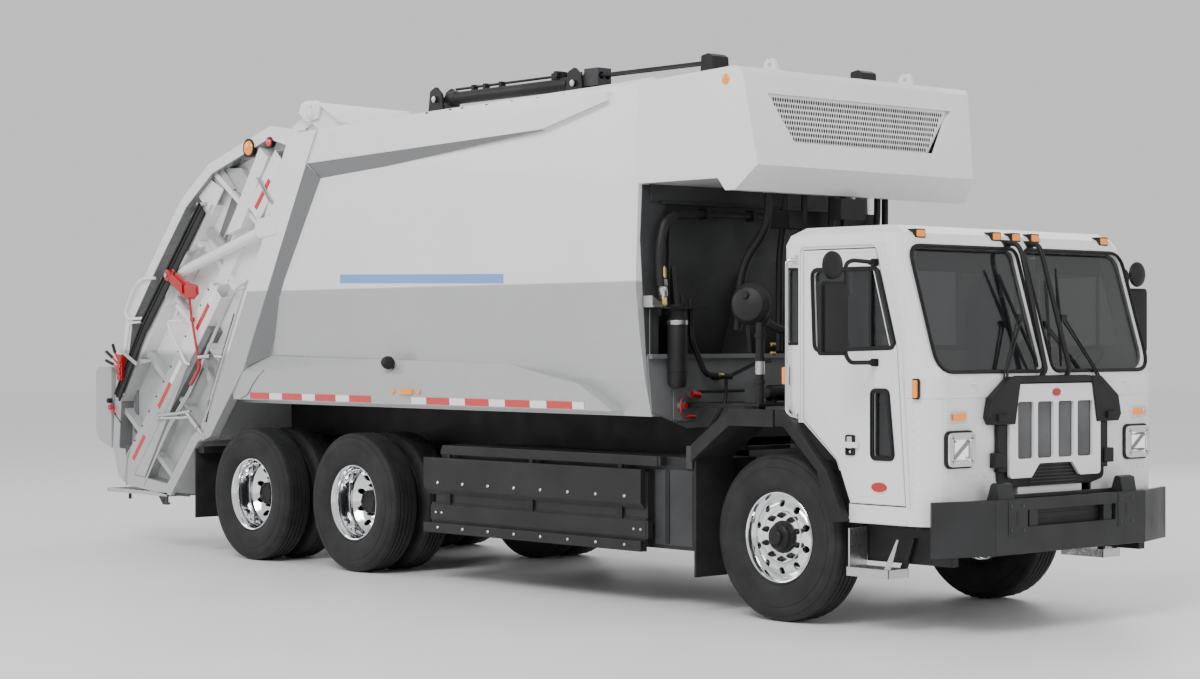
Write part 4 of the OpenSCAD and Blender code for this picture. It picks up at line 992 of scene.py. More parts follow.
def tapes():
    red, white = Shape(), Shape()

    def strip(s, a, b):
        ya, yb = -1.1945, -1.1985
        s.add([(a, ya, 1.341), (b, ya, 1.341), (b, yb, 1.393), (a, yb, 1.393), (a, ya - 0.002, 1.341),
                (b, ya - 0.002, 1.341),
               (b, yb - 0.002, 1.393), (a, yb - 0.002, 1.393)],
              [(0, 1, 2, 3), (7, 6, 5, 4), (0, 4, 5, 1), (1, 5, 6, 2), (2, 6, 7, 3), (3, 7, 4, 0)])

    for k in range(4):
        a = -5.978 + 0.46 * k
        strip(red, a, a + 0.278)
        if k < 3:
            strip(white, a + 0.281, a + 0.457)
        a = -3.615 + 0.462 * k if k else -3.615
        strip(red, a, a + 0.275)
        strip(white, a + 0.278, a + 0.459 if k < 3 else a + 0.4)
    strip(white, -3.8, -3.62)
    for s in (red, white):
        s.both()
    red.done("reflective_tape_red", "tape_red", "chassis", "white_paint", bevel=0)
    white.done("reflective_tape_white", "tape_white", "chassis", "white_paint", bevel=0)
    b = Shape()
    pts = [(x, z) for x, z in ((-4.772, 2.282), (-4.772, 2.35), (-2.712, 2.312), (-2.712, 2.244))]
    slab(b, [(x, -panel_y(x, z) - 0.0015, z) for x, z in pts], 0.0015)
    b.both()
    b.done("side_stripe", "stripe", "chassis", "white_paint", bevel=0)


def seams():
    """Weld lines, and painted shade along folds, drawn as thin dark lines."""
    s = Shape()
    s.tube([(-5.763, -1.207, 1.581), (-5.874, -1.205, 1.511), (-5.949, -1.203, 1.447),
            (-6.014, -1.199, 1.372), (-6.12, -1.196, 1.342)], 0.0035, n=6)
    s.tube([(-1.588, -1.2, 3.495), (-2.271, -1.2005, 3.3405), (-5.16, -1.2015, 3.2505)], 0.0025, n=6)
    s.tube([(-5.012, -1.2125, 3.508), (-5.16, -1.213, 3.25)], 0.0025, n=6)
    s.both()
    s.done("body_seams_and_fold_shade", "recess", "chassis", "white_paint", bevel=0)
    r = Shape()
    for x in (-3.806, -3.518, -3.373, -3.086, -2.796, -2.504, -2.216, -1.927):
        r.bolt((x, -1.04, 3.582 + 0.0175 * (x + 3.0) / 1.2), (0, -1, 0), 0.013, 0.012, 8)
    r.both()
    r.done("roof_rail_bolts", "dark", "chassis", "white_paint", bevel=0)


def roof_fairings():
    s = Shape()
    # long slopes from the hinge ears down to the roof rails
    s.prism([(-5.254, 3.766), (-5.218, 3.731), (-4.932, 3.575), (-4.792, 3.556), (-4.045, 3.566),
            (-4.045, 3.606)], "y", -1.035, -0.975)
    s.prism([(-1.749, 3.592), (-1.559, 3.64), (-1.275, 3.65), (-1.275, 3.59)], "y", -1.055, -0.925)
    s.both()
    s.done("roof_fairings", "white", "chassis", "white_paint", bevel=0.006)
    e = Shape()
    e.prism([(-5.565, 3.7), (-5.53, 3.775), (-5.46, 3.795), (-5.3, 3.785), (-5.254, 3.766), (-5.3, 3.64),
            (-5.46, 3.62)], "y", -1.0, -0.974)
    for z in (3.66, 3.7, 3.74):
        e.bolt((-5.395, -1.0, z), (0, -1, 0), 0.014, 0.014)
    e.lathe([(0.046, 0), (0.046, 0.012), (0.03, 0.02), (0, 0.02)], (-5.397, -1.0, 3.685), (0, -1, 0), 24)
    e.both()
    e.done("hinge_ear_plates", "white", "chassis", "white_paint", bevel=0.004)


def roof_gear():
    s = Shape()
    for x0, x1, z0, z1 in ((-4.0, -3.86, 3.553, 3.8), (-2.385, -2.24, 3.583, 3.818)):
        mid = (x0 + x1) / 2
        for y0, y1 in ((-0.86, -0.835), (-0.705, -0.68)):
            s.prism(rounded([(x0 - 0.03, z0), (x1 + 0.03, z0), (x1, z1 - 0.06), (mid, z1), (x0, z1 - 0.03)],
                    0.02), "y", y0, y1)
        s.block(x0, x1, -0.84, -0.7, z0, z0 + 0.025)
        s.rod((mid, -0.875, 3.7), (mid, -0.665, 3.7), 0.026)
    s.block(-2.2, -2.0, -0.85, -0.69, 3.586, 3.655)
    s.lathe([(0, 0), (0.052, 0), (0.056, 0.01), (0.056, 0.1), (0.048, 0.11), (0.048, 1.33), (0.055, 1.34),
            (0.055, 1.42), (0.03, 1.43), (0, 1.43)],
            (-3.87, -0.77, 3.705), (1, 0, 0.0035), 32)
    s.rod((-3.85, -0.72, 3.782), (-2.38, -0.72, 3.79), 0.01)
    for x in (-3.62, -3.48, -3.29, -2.62):
        s.block(x - 0.016, x + 0.016, -0.745, -0.695, 3.74, 3.8)
    s.block(-2.68, -2.55, -0.76, -0.7, 3.76, 3.81)
    s.block(-2.62, -2.58, -0.79, -0.69, 3.77, 3.818)
    # rails on which the sliding block runs, and their front brackets
    s.block(-2.24, -0.98, -0.812, -0.788, 3.735, 3.757)
    s.block(-2.24, -0.98, -0.752, -0.728, 3.735, 3.757)
    s.prism(rounded([(-1.02, 3.617), (-0.89, 3.617), (-0.9, 3.78), (-0.94, 3.802), (-1.01, 3.79)], 0.015),
            "y", -0.85, -0.69)
    s.both()
    s.done("roof_cylinder_detail", "black", "chassis", "black_paint", replaces=("roof_cylinder",),
            bevel=0.003)
    p = Shape()
    for x in (-3.93, -2.312):
        p.lathe([(0, 0), (0.024, 0), (0.024, 0.006), (0.016, 0.008), (0, 0.008)], (x, -0.875, 3.7),
                (0, -1, 0), 20)
    p.both()
    p.done("roof_pin_ends", "steel", "chassis", "black_paint", bevel=0)


def pod():
    """Perforated panel of the pod, its lip, dome and fixings; the perforations are black discs, painted
    shade of the space behind the holes.
    """
    s = Shape()
    x = -0.318
    edge = [(-0.735, 3.15), (0.735, 3.15), (0.95, 3.47), (-0.95, 3.47)]
    s.prism(edge, "x", x - 0.006, x)
    s.done("pod_panel", "white", "chassis", "white_paint", replaces=("pod_grille",), bevel=0.002)
    # black discs on the solid panel stand in for its holes: painted shade of the dark space behind
    h = Shape()
    for r in range(8):
        z = 3.18 + r * 0.0368
        half = 0.735 + (z - 3.15) * 0.672 - 0.045
        n = int(half / 0.0235)
        for k in range(-n, n + 1):
            y = k * 0.0235 + (0.0117 if r % 2 else 0)
            turns = (math.pi * 2 * i / 8 for i in range(8))
            o = [(y + 0.0078 * math.cos(a), z + 0.0148 * math.sin(a)) for a in turns]
            h.prism(o, "x", x - 0.001, x + 0.0012)
    h.done("pod_hole_shade", "plastic", "chassis", "white_paint", bevel=0)
    d = Shape()
    d.lathe([(0, 0.046), (0.06, 0.044), (0.12, 0.034), (0.165, 0.012), (0.17, -0.005), (0, -0.005)],
            (-0.64, 0.24, 3.634), (0, 0, 1), 40)
    d.done("pod_dome", "white", "chassis", "white_paint", bevel=0.002)
    r = Shape()
    r.rivets((-0.6, -1.175, 2.908), (-1.22, -1.185, 2.908), 5, (0, 0, -1), 0.007)
    r.rivets((-0.36, -1.0, 2.822), (-0.36, 1.0, 2.822), 9, (0, 0, -1), 0.007)
    r.done("pod_rivets", "steel", "chassis", "white_paint", bevel=0)
    a = Shape()
    a.lathe([(0, 0.016), (0.022, 0.014), (0.034, 0.006), (0.036, 0), (0, 0)], (-0.424, -1.1995, 3.555),
            (0, -1, 0), 28)
    a.both()
    a.done("pod_markers", "amber", "chassis", "white_paint", bevel=0)


def lamps_side():
    a = Shape()
    a.prism(rounded([(-3.93, 1.415), (-3.77, 1.415), (-3.77, 1.455), (-3.93, 1.455)], 0.018), "y", -1.222,
            -1.199)
    for x, z, y, r in ((-4.02, 1.434, -1.2005, 0.019), (-3.7, 1.434, -1.2005, 0.017)):
        a.lathe([(0, 0.014), (r * 0.7, 0.012), (r, 0.003), (r, 0), (0, 0)], (x, y, z), (0, -1, 0), 24)
    a.both()
    a.done("side_markers", "amber", "chassis", "white_paint", bevel=0.002)
    c = Shape()
    c.lathe([(0, 0.05), (0.03, 0.042), (0.05, 0.012), (0.052, -0.02), (0.035, -0.05), (0, -0.055)],
            (-4.08, -1.215, 1.655), (0, -1, 0.2), 28)
    c.tube([(-4.08, -1.1, 1.57), (-4.08, -1.14, 1.6), (-4.08, -1.2, 1.65)], 0.014)
    c.block(-4.12, -4.04, -1.125, -1.09, 1.6, 1.62)
    c.both()
    c.done("side_cameras", "plastic", "chassis", "white_paint", bevel=0.002)


def front_flanges():
    """Flanges round the open front of the body."""
    s = Shape()
    s.prism(rounded([(-1.165, 2.9), (-1.185, 2.52), (-1.13, 1.73), (-1.1, 1.62), (-1.012, 1.62),
            (-1.012, 2.6), (-0.93, 2.79), (-0.93,
            2.9)], [0, 0, 0, 0, 0, 0.12, 0.02, 0]), "x", -1.269, -1.262)
    for y in (-1.01, -0.93):
        s.block(-1.269, -1.235, y - 0.006, y, 2.0, 2.62)
    s.both()
    s.block(-1.269, -1.244, -1.1, 1.1, 2.79, 2.93)
    s.block(-1.269, -1.225, -1.0, 1.0, 2.775, 2.79)
    s.done("front_flanges", "dark", "chassis", "black_paint", bevel=0.003)


def lower_bulkhead():
    """Plate that closes the front below the opening."""
    b = Shape()
    b.prism([(-1.13, 1.722), (-1.09, 1.333), (-0.746, 1.214), (0.746, 1.214), (1.09, 1.333), (1.13, 1.722)],
            "x", -1.262, -1.247)
    b.block(-1.262, -1.215, -1.12, 1.12, 1.7, 1.732)
    b.rivets((-1.214, -1.08, 1.716), (-1.214, 1.08, 1.716), 9, (1, 0, 0), 0.007)
    b.block(-1.245, -1.238, -1.12, -1.113, 1.73, 2.04)
    b.done("lower_bulkhead", "grey_steel", "chassis", "black_paint", bevel=0.003)


def front_pipes():
    """Filter and the pipes behind the cab."""
    f = Shape()
    f.lathe([(0, -0.5), (0.055, -0.498), (0.068, -0.47), (0.07, -0.4), (0.066, -0.395), (0.07, -0.39),
            (0.07, -0.02), (0.062, 0), (0.062, 0.03),
             (0.074, 0.035), (0.074, 0.075), (0, 0.075)], (-1.165, -0.925, 2.0), (0, 0, 1), 40)
    f.block(-1.245, -1.08, -1.08, -0.72, 2.045, 2.058)
    f.tube([(-1.18, -0.78, 2.045), (-1.18, -0.78, 1.84), (-1.18, -0.635, 1.585), (-1.18, -0.38, 1.57)],
            0.021)
    f.tube([(-1.2, -1.05, 2.2), (-1.2, -1.07, 2.45), (-1.2, -1.02, 2.64), (-1.2, -0.92, 2.7)], 0.036,
            bend=0.09)
    f.tube([(-1.2, -0.94, 2.69), (-1.2, -0.6, 2.715), (-1.2, 0.3, 2.715)], 0.026)
    for y in (-0.62, -0.15, 0.22):
        f.block(-1.245, -1.165, y - 0.018, y + 0.018, 2.675, 2.755)
    for z in (1.47, 1.384):
        f.tube([(-1.19, -0.72, z), (-1.19, -0.24, z)], 0.011)
    f.tube([(-1.18, -0.43, 1.565), (-1.18, -0.43, 1.4), (-1.18, -0.59, 1.21)], 0.013)
    f.tube([(-1.18, -0.42, 1.565), (-1.18, -0.1, 1.675), (-1.18, 0.02, 1.68)], 0.013)
    f.rod((-1.245, -0.5, 1.57), (-1.17, -0.5, 1.57), 0.024, 8)
    for y, z in ((-0.86, 2.1), (-0.79, 2.075)):
        f.rod((-1.18, y, 2.05), (-1.18, y, z + 0.04), 0.014)
    f.done("front_pipes", "black", "chassis", "filter_black", replaces=("hydraulic_lines",), bevel=0.002)


def air_tanks():
    """Air tanks and the pipes beside them."""
    t = Shape()
    t.lathe([(0, 0.085), (0.05, 0.078), (0.11, 0.05), (0.135, 0.01), (0.142, 0), (0.142, -0.02),
            (0.132, -0.025), (0.118, -0.07), (0.07, -0.11), (0, -0.12)],
            (-0.46, -0.93, 2.07), (0.35, -0.94, 0), 48)
    t.lathe([(0, 0.1), (0.022, 0.1), (0.026, 0.075), (0, 0.075)], (-0.46, -0.93, 2.13), (0.35, -0.94, 0),
            16)
    t.tube([(-0.4, -0.9, 1.95), (-0.4, -0.9, 1.4)], 0.03)
    t.tube([(-0.36, -0.88, 1.95), (-0.33, -0.8, 1.9), (-0.3, -0.6, 1.89), (-0.3, 0.6, 1.89)], 0.03)
    for z in (1.86, 1.7, 1.55):
        t.lathe([(0.038, -0.012), (0.038, 0.012)], (-0.4, -0.9, z), (0, 0, 1), 20)
    t.lathe([(0, 0), (0.035, 0.01), (0.055, 0.04), (0.055, 1.16), (0.035, 1.19), (0, 1.2)],
            (-0.52, -0.72, 1.47), (0, 1, 0), 36)
    for y in (-0.68, -0.35):
        t.block(-0.56, -0.48, y, y + 0.03, 1.38, 1.47)
    t.block(-1.26, -0.5, -0.8, -0.74, 1.36, 1.395)
    t.block(-0.62, -0.36, -0.95, 0.95, 1.385, 1.405)
    t.done("air_tanks", "black", "chassis", "filter_black", bevel=0.002)


def pipe_fittings():
    """Steel clamps, collars and brackets."""
    k = Shape()
    k.lathe([(0.0715, -0.03), (0.0735, -0.028), (0.0735, 0.0), (0.0715, 0.002)], (-1.165, -0.925, 1.965),
            (0, 0, 1), 40)
    k.lathe([(0, 0), (0.026, 0), (0.034, 0.02), (0.034, 0.07), (0.03, 0.08), (0.037, 0.085), (0.037, 0.13),
            (0, 0.13)], (-1.2, -1.025, 2.12), (0, -0.12, 1), 24)
    k.lathe([(0.032, 0), (0.034, 0.02), (0.032, 0.09)], (-0.4, -0.9, 1.6), (0, 0, 1), 24)
    k.block(-1.262, -1.15, -1.17, -1.05, 2.055, 2.068)
    k.add([(-1.25, -1.17, 2.068), (-1.16, -1.17, 2.068), (-1.16, -1.06, 2.068), (-1.25, -1.06, 2.068),
            (-1.25, -1.17, 2.135), (-1.16, -1.17, 2.135)],
          [(0, 1, 2, 3), (0, 4, 5, 1), (3, 2, 5, 4), (0, 3, 4), (1, 5, 2)])
    k.done("pipe_fittings", "steel", "chassis", "filter_black", bevel=0.002)


def brass_fittings():
    """Brass unions."""
    g = Shape()
    g.lathe([(0, 0), (0.036, 0), (0.042, 0.015), (0.042, 0.07), (0.036, 0.085), (0, 0.085)],
            (-1.2, -1.045, 2.255), (0, -0.06, 1), 6)
    g.lathe([(0, 0), (0.03, 0), (0.033, 0.06), (0, 0.06)], (-1.2, -1.02, 2.062), (0, -0.1, 1), 6)
    for p in ((-1.16, -0.5, 1.585), (-0.4, -0.9, 1.585), (-0.34, -0.84, 1.8), (-0.34, -0.84, 1.74)):
        g.rod((p[0], p[1] - 0.02, p[2]), (p[0], p[1] + 0.02, p[2]), 0.014, 6)
    g.done("brass_fittings", "brass", "chassis", "filter_black", bevel=0.001)


def valve_plate():
    """Plate that carries the valves."""
    v = Shape()
    v.prism(rounded([(-0.9, 1.27), (-0.9, 1.49), (-0.66, 1.49), (-0.64, 1.3), (-0.72, 1.262)], 0.02), "x",
            -1.238, -1.228)
    v.rod((-1.228, -0.84, 1.37), (-1.18, -0.84, 1.37), 0.03, 20)
    v.rod((-1.228, -0.74, 1.45), (-1.17, -0.74, 1.45), 0.034, 20)
    v.done("valve_plate", "grey_steel", "chassis", "filter_black", bevel=0.002)


def valve_handles():
    """Red valve handles."""
    w = Shape()
    w.rod((-1.17, -0.78, 1.455), (-1.17, -0.7, 1.445), 0.021, 16)
    w.rod((-1.18, -0.84, 1.37), (-1.165, -0.84, 1.37), 0.02, 16)
    w.rod((-1.2, -0.79, 1.3), (-1.2, -0.72, 1.295), 0.015, 12)
    w.tube([(-1.19, -0.84, 1.44), (-1.17, -0.885, 1.42), (-1.17, -0.89, 1.33), (-1.19, -0.84, 1.29),
            (-1.2, -0.77, 1.3)], 0.006, n=8)
    w.done("valve_handles", "red", "chassis", "red_paint", bevel=0.002)


def pod_hoses():
    """Hoses from the pod down behind the cab."""
    o = Shape()
    for x, y, z in ((-0.62, -0.42, 2.6), (-0.55, -0.3, 2.55), (-0.48, -0.1, 2.5), (-0.55, 0.1, 2.45),
            (-0.48, 0.38, 2.55), (-0.6, 0.6, 2.4)):
        o.tube([(x, y, 2.93), (x, y, z + 0.1), (x - 0.1, y + 0.05, z - 0.15), (x - 0.08, y + 0.02, 1.75)],
                0.024, bend=0.12)
    o.tube([(-0.6, -0.6, 2.93), (-0.6, -0.6, 2.62), (-0.8, -0.66, 2.35), (-0.85, -0.66, 1.9)], 0.032,
            bend=0.14)
    o.block(-0.75, -0.55, -0.45, 0.45, 2.6, 2.72)
    o.block(-0.4, -0.3, -0.2, 0.05, 2.66, 2.8)
    o.done("pod_hoses", "hose", "chassis", "filter_black", bevel=0.002)


def hose_fittings():
    """Unions at the top of the hoses."""
    c = Shape()
    for x, y in ((-0.62, -0.6), (-0.52, 0.2), (-0.4, -0.34), (-0.4, -0.24)):
        c.lathe([(0, 0), (0.028, 0), (0.036, 0.01), (0.036, 0.05), (0.028, 0.06), (0, 0.06)], (x, y, 2.835),
                (0, 0, 1), 6)
    c.tube([(-0.42, 0.05, 2.9), (-0.42, 0.05, 2.76), (-0.36, -0.12, 2.7)], 0.02)
    c.done("hose_fittings", "steel", "chassis", "filter_black", bevel=0.001)


def bulkhead():
    """Front end of the body with its hydraulic lines, filter and air tanks."""
    for part in (front_flanges, lower_bulkhead, front_pipes, air_tanks, pipe_fittings, brass_fittings,
            valve_plate, valve_handles, pod_hoses, hose_fittings):
        part()


def body():
    keep("body_shell", "body", 0.006, 3)
    keep("roof_pod", "white", 0.014, 4)
    keep("ejector_panel", "inside", 0.004)
    keep("roof_slide_block", "dark", 0.003)
    keep("body_subframe", "black", 0.003)
    chamfers()
    tapes()
    seams()
    roof_fairings()
    roof_gear()
    pod()
    lamps_side()
    bulkhead()


# ---------- tailgate ----------
def bar(s, a, b, w, y0, y1):
    """A flat bar of width w between two points of the side view."""
    a, b = Vector(a), Vector(b)
    d = (b - a).normalized() * 1.0
    n = Vector((-d.y, d.x)) * w / 2
    s.prism([tuple(a + n), tuple(b + n), tuple(b - n), tuple(a - n)], "y", y0, y1)


def along(a, b, t):
    return (a[0] + (b[0] - a[0]) * t, a[1] + (b[1] - a[1]) * t)


def tailgate():
    for n in ("tailgate_side_right", "tailgate_side_left"):
        keep(n, "gate", 0.005, 2)
    keep("tailgate_back", "gate", 0.006, 3)
    keep("hopper_shell", "grey", 0.005, 2)
    keep("packer_carriage", "dark", 0.004)
    keep("sweep_blade", "dark", 0.004)
    for k in ("right", "left"):
        keep("lift_barrel_" + k, "white", 0.003, 2)
        keep("lift_rod_" + k, "chrome", 0.001)
    for label, side in SIDES:
        gate_side(label, side)
    gate_rear()


# centre line of the guide in the side view, and depths on the right side wall: the floor of its
# recess, the outer face of the guide plates, the thin lines and the inner face of the latch
GUIDE_TOP, GUIDE_LOW = (-5.6, 3.27), (-7.86, 0.73)
FLOOR_Y, PLATE_Y, LINE_Y, LATCH_Y = -1.062, -1.188, -1.195, -1.212


def gate_guides(out):
    """Guide plates, bolted plates and the lower plate beside the step."""
    s = Shape()
    # guide plates with their folded edges, left open where the lift cylinder swings
    for a, b in ((along(GUIDE_TOP, GUIDE_LOW, -0.02), along(GUIDE_TOP, GUIDE_LOW, 0.155)),
            (along(GUIDE_TOP, GUIDE_LOW, 0.4), along(GUIDE_TOP, GUIDE_LOW, 1.03))):
        bar(s, a, b, 0.2, PLATE_Y, -1.178)
        n = Vector((b[0] - a[0], b[1] - a[1])).normalized()
        m = Vector((n.y, -n.x)) * 0.1
        for sg in (1, -1):
            bar(s, (a[0] + m.x * sg, a[1] + m.y * sg), (b[0] + m.x * sg, b[1] + m.y * sg), 0.01, PLATE_Y,
                    -1.065)
    s.prism(rounded([(-6.875, 3.103), (-6.7, 3.225), (-6.451, 3.106), (-6.636, 2.886)], 0.01), "y", -1.15,
            -1.14)
    s.prism(rounded([(-6.081, 3.035), (-5.96, 2.9), (-6.18, 2.8), (-6.36, 2.76)], 0.01), "y", -1.118,
            -1.108)
    # lower plate beside the step, with its two hooks
    s.prism([(-8.14, 0.86), (-7.95, 0.86), (-7.93, 0.8), (-7.96, 0.56), (-8.06, 0.62)], "y", -1.198,
            PLATE_Y)
    out(s, "gate_guides", "gate", "white_paint", bevel=0.003)


def gate_channels(out):
    """Folded box at the top and the ribs behind the plates."""
    g = Shape()
    # folded box at the top and channels behind the plates
    g.prism(rounded([(-6.66, 3.23), (-6.497, 3.303), (-6.284, 3.1), (-6.507, 3.112)], 0.008), "y", -1.135,
            FLOOR_Y)
    g.prism(rounded([(-6.47, 3.285), (-6.224, 3.277), (-6.046, 3.111), (-6.145, 3.015), (-6.29, 3.085)],
            0.008), "y", -1.12, FLOOR_Y)
    for a, b, w in (((-7.02, 2.93), (-6.517, 2.62), 0.07), ((-7.555, 2.386), (-7.1, 2.08), 0.07),
            ((-7.86, 1.89), (-7.3, 1.35), 0.07),
                    ((-7.02, 1.98), (-6.62, 1.3), 0.06), ((-7.3, 1.3), (-6.8, 1.02), 0.06), ((-7.6, 0.9),
                            (-7.25, 0.64), 0.05)):
        bar(g, a, b, w, -1.104, FLOOR_Y)
    out(g, "gate_channels", "grey", "white_paint", bevel=0.004)


def gate_webs(out):
    """Dark web beside the guide and painted shade on the inner faces of the rim."""
    d = Shape()
    # inner dark web that runs beside the guide
    bar(d, (-6.62, 1.93), (-7.78, 0.675), 0.09, -1.18, -1.063)
    bar(d, (-6.36, 3.02), (-6.56, 2.7), 0.14, -1.075, FLOOR_Y)
    d.block(-7.99, -7.935, -1.075, FLOOR_Y, 1.00, 1.55)
    out(d, "gate_webs", "grey_steel", "white_paint", bevel=0.002)
    # painted shade: dark strips on the inner faces of the outer rim, left open at the lift cylinder
    e = Shape()
    rim = ((-6.235, 2.05), (-6.74, 1.075), (-6.88, 1.000), (-7.26, 0.575), (-7.89, 0.64), (-8.06, 0.88),
            (-8.000, 1.56),
           (-7.905, 1.665), (-7.84, 1.99), (-7.47, 2.425), (-6.965, 2.975), (-6.56, 3.245), (-5.72,
                   3.49), (-5.47, 3.42), (-5.725, 2.95))
    for a, c in zip(rim, rim[1:]):
        v = Vector((c[0] - a[0], c[1] - a[1])).normalized()
        m = Vector((v.y, -v.x)) * 0.003
        bar(e, (a[0] + m.x, a[1] + m.y), (c[0] + m.x, c[1] + m.y), 0.008, -1.187, FLOOR_Y)
    out(e, "gate_rim_shade", "recess", "white_paint", bevel=0)


def gate_bolts(out):
    """Bolts of the guide plates, the flat plates and the step."""
    b = Shape()
    for i in range(11):
        p = along(GUIDE_TOP, GUIDE_LOW, 0.42 + 0.052 * i)
        b.bolt((p[0] - 0.068, PLATE_Y, p[1] + 0.055), (0, -1, 0), 0.009, 0.007)
    for p in ((-6.8, 3.12), (-6.66, 2.99), (-6.02, 2.98), (-6.1, 2.905), (-6.18, 2.845)):
        b.bolt((p[0], -1.15 if p[0] < -6.5 else -1.118, p[1]), (0, -1, 0), 0.01, 0.008)
    for p in ((-7.225, 0.407), (-7.33, 0.43)):
        b.bolt((p[0], -1.19, p[1]), (0, -1, 0), 0.012, 0.008)
    out(b, "gate_bolts", "dark", "white_paint", bevel=0)


def gate_reflectors(out):
    """Red and white reflective strips on the guides."""
    r = Shape()
    for t0, t1 in ((0.048, 0.138), (0.448, 0.532), (0.715, 0.8), (0.9, 0.985)):
        bar(r, along(GUIDE_TOP, GUIDE_LOW, t0), along(GUIDE_TOP, GUIDE_LOW, t1), 0.046, -1.1895, -1.1875)
    out(r, "gate_reflectors_red", "tape_red", "red_paint", bevel=0)
    w = Shape()
    for t0, t1 in ((-0.015, 0.046), (0.405, 0.446), (0.64, 0.713)):
        bar(w, along(GUIDE_TOP, GUIDE_LOW, t0), along(GUIDE_TOP, GUIDE_LOW, t1), 0.046, -1.1895, -1.1875)
    out(w, "gate_reflectors_white", "tape_white", "white_paint", bevel=0)


def hose_track(out):
    """Track for the hoses, down the rear edge outside the lift cylinder."""
    h = Shape()
    pts = ((-6.668, 2.957), (-7.6, 1.945), (-8.045, 1.315))
    for a, c in zip(pts, pts[1:]):
        v = Vector((c[0] - a[0], c[1] - a[1])).normalized()
        m = Vector((v.y, -v.x))
        k = 1 if a is pts[0] else 0.8
        for off, wd, y in ((-0.06, 0.016, -1.228), (0.012, 0.012, -1.228), (0.062, 0.018, -1.224)):
            bar(h, (a[0] + m.x * off * k, a[1] + m.y * off * k),
                    (c[0] + m.x * off * k, c[1] + m.y * off * k), wd, y, -1.213)
        bar(h, a, c, 0.13 * k, -1.2155, -1.213)
    out(h, "hose_track", "hose", "plastic_black", bevel=0.002)
    q = Shape()
    for a, c in zip(pts, pts[1:]):
        v = Vector((c[0] - a[0], c[1] - a[1]))
        L = v.length
        v.normalize()
        m = Vector((v.y, -v.x)) * -0.024
        count = int(L / 0.0125)
        for i in range(count):
            x, z = a[0] + m.x + v.x * i * 0.0125, a[1] + m.y + v.y * i * 0.0125
            bar(q, (x, z), (x + v.x * 0.007, z + v.y * 0.007), 0.05, -1.223, -1.2155)
    out(q, "hose_track_links", "dark", "plastic_black", bevel=0)
    k = Shape()
    for x, z in ((-6.7, 2.99), (-7.62, 1.93), (-8.03, 1.345)):
        k.block(x - 0.07, x + 0.07, -1.2125, -1.189, z - 0.014, z + 0.014)
    k.prism([(-7.955, 1.752), (-7.96, 1.722), (-7.7, 1.6), (-7.68, 1.628)], "y", -1.24, -1.228)
    k.prism([(-7.69, 1.66), (-7.5, 1.655), (-7.5, 1.64), (-7.69, 1.615)], "y", -1.205, -1.19)
    out(k, "hose_track_clamps", "grey", "white_paint", bevel=0.002)


def tailgate_latch(out):
    """Red latch with its rod and handle."""
    e = Shape()
    e.prism(rounded([(-7.2, 2.375), (-7.129, 2.45), (-6.95, 2.345), (-6.74, 2.296), (-6.722, 2.224),
            (-6.8, 2.175), (-6.917, 2.18), (-7.172, 2.323)], 0.018),
            "y", -1.224, -1.2115)
    e.prism(rounded([(-7.16, 2.34), (-7.12, 2.405), (-6.95, 2.315), (-6.94, 2.22)], 0.012), "y", -1.245,
            -1.222)
    e.prism(rounded([(-6.93, 2.3), (-6.745, 2.285), (-6.735, 2.205), (-6.9, 2.185)], 0.012), "y", -1.236,
            -1.222)
    e.lathe([(0, 0.03), (0.04, 0.03), (0.05, 0.022), (0.05, -0.01), (0, -0.01)], (-7.183, -1.222, 2.391),
            (0, -1, 0), 28)
    e.tube([(-6.865, -1.222, 2.2), (-6.835, -1.216, 2.02), (-6.78, LATCH_Y, 1.81), (-6.741, LATCH_Y, 1.675),
            (-6.724, LATCH_Y, 1.615)], 0.0115, n=10)
    e.tube([(-6.728, LATCH_Y, 1.64), (-6.722, LATCH_Y, 1.6), (-6.745, LATCH_Y, 1.56),
            (-6.856, LATCH_Y, 1.445)], 0.017, n=10)
    e.block(-6.845, -6.8, -1.228, -1.206, 1.985, 2.025)
    out(e, "tailgate_latch", "red", "red_paint", bevel=0.003)


def latch_turnbuckle(out):
    """Turnbuckles, their pins and the small lever."""
    f = Shape()
    f.lathe([(0, 0), (0.02, 0.003), (0.02, 0.012), (0, 0.014)], (-7.183, -1.252, 2.391), (0, -1, 0), 18)
    f.rod((-6.745, -1.205, 1.681), (-6.565, -1.205, 1.692), 0.018)
    f.tube([(-7.37, -1.2, 1.172), (-7.1, -1.205, 1.19), (-6.876, -1.2, 1.218)], 0.014)
    f.tube([(-7.37, -1.2, 1.148), (-7.1, -1.205, 1.152), (-6.9, -1.2, 1.165)], 0.014)
    f.lathe([(0, -0.02), (0.032, -0.02), (0.032, 0.02), (0, 0.02)], (-7.385, -1.2, 1.16), (0, -1, 0), 18)
    f.rod((-6.93, -1.2, 1.2), (-6.64, -1.2, 0.99), 0.017)
    f.rod((-6.86, -1.2, 1.15), (-6.76, -1.2, 1.077), 0.026)
    f.lathe([(0, -0.015), (0.03, -0.015), (0.03, 0.02), (0, 0.02)], (-6.665, -1.2, 1.01), (0, -1, 0), 18)
    out(f, "latch_turnbuckle", "steel", "white_paint", bevel=0.002)


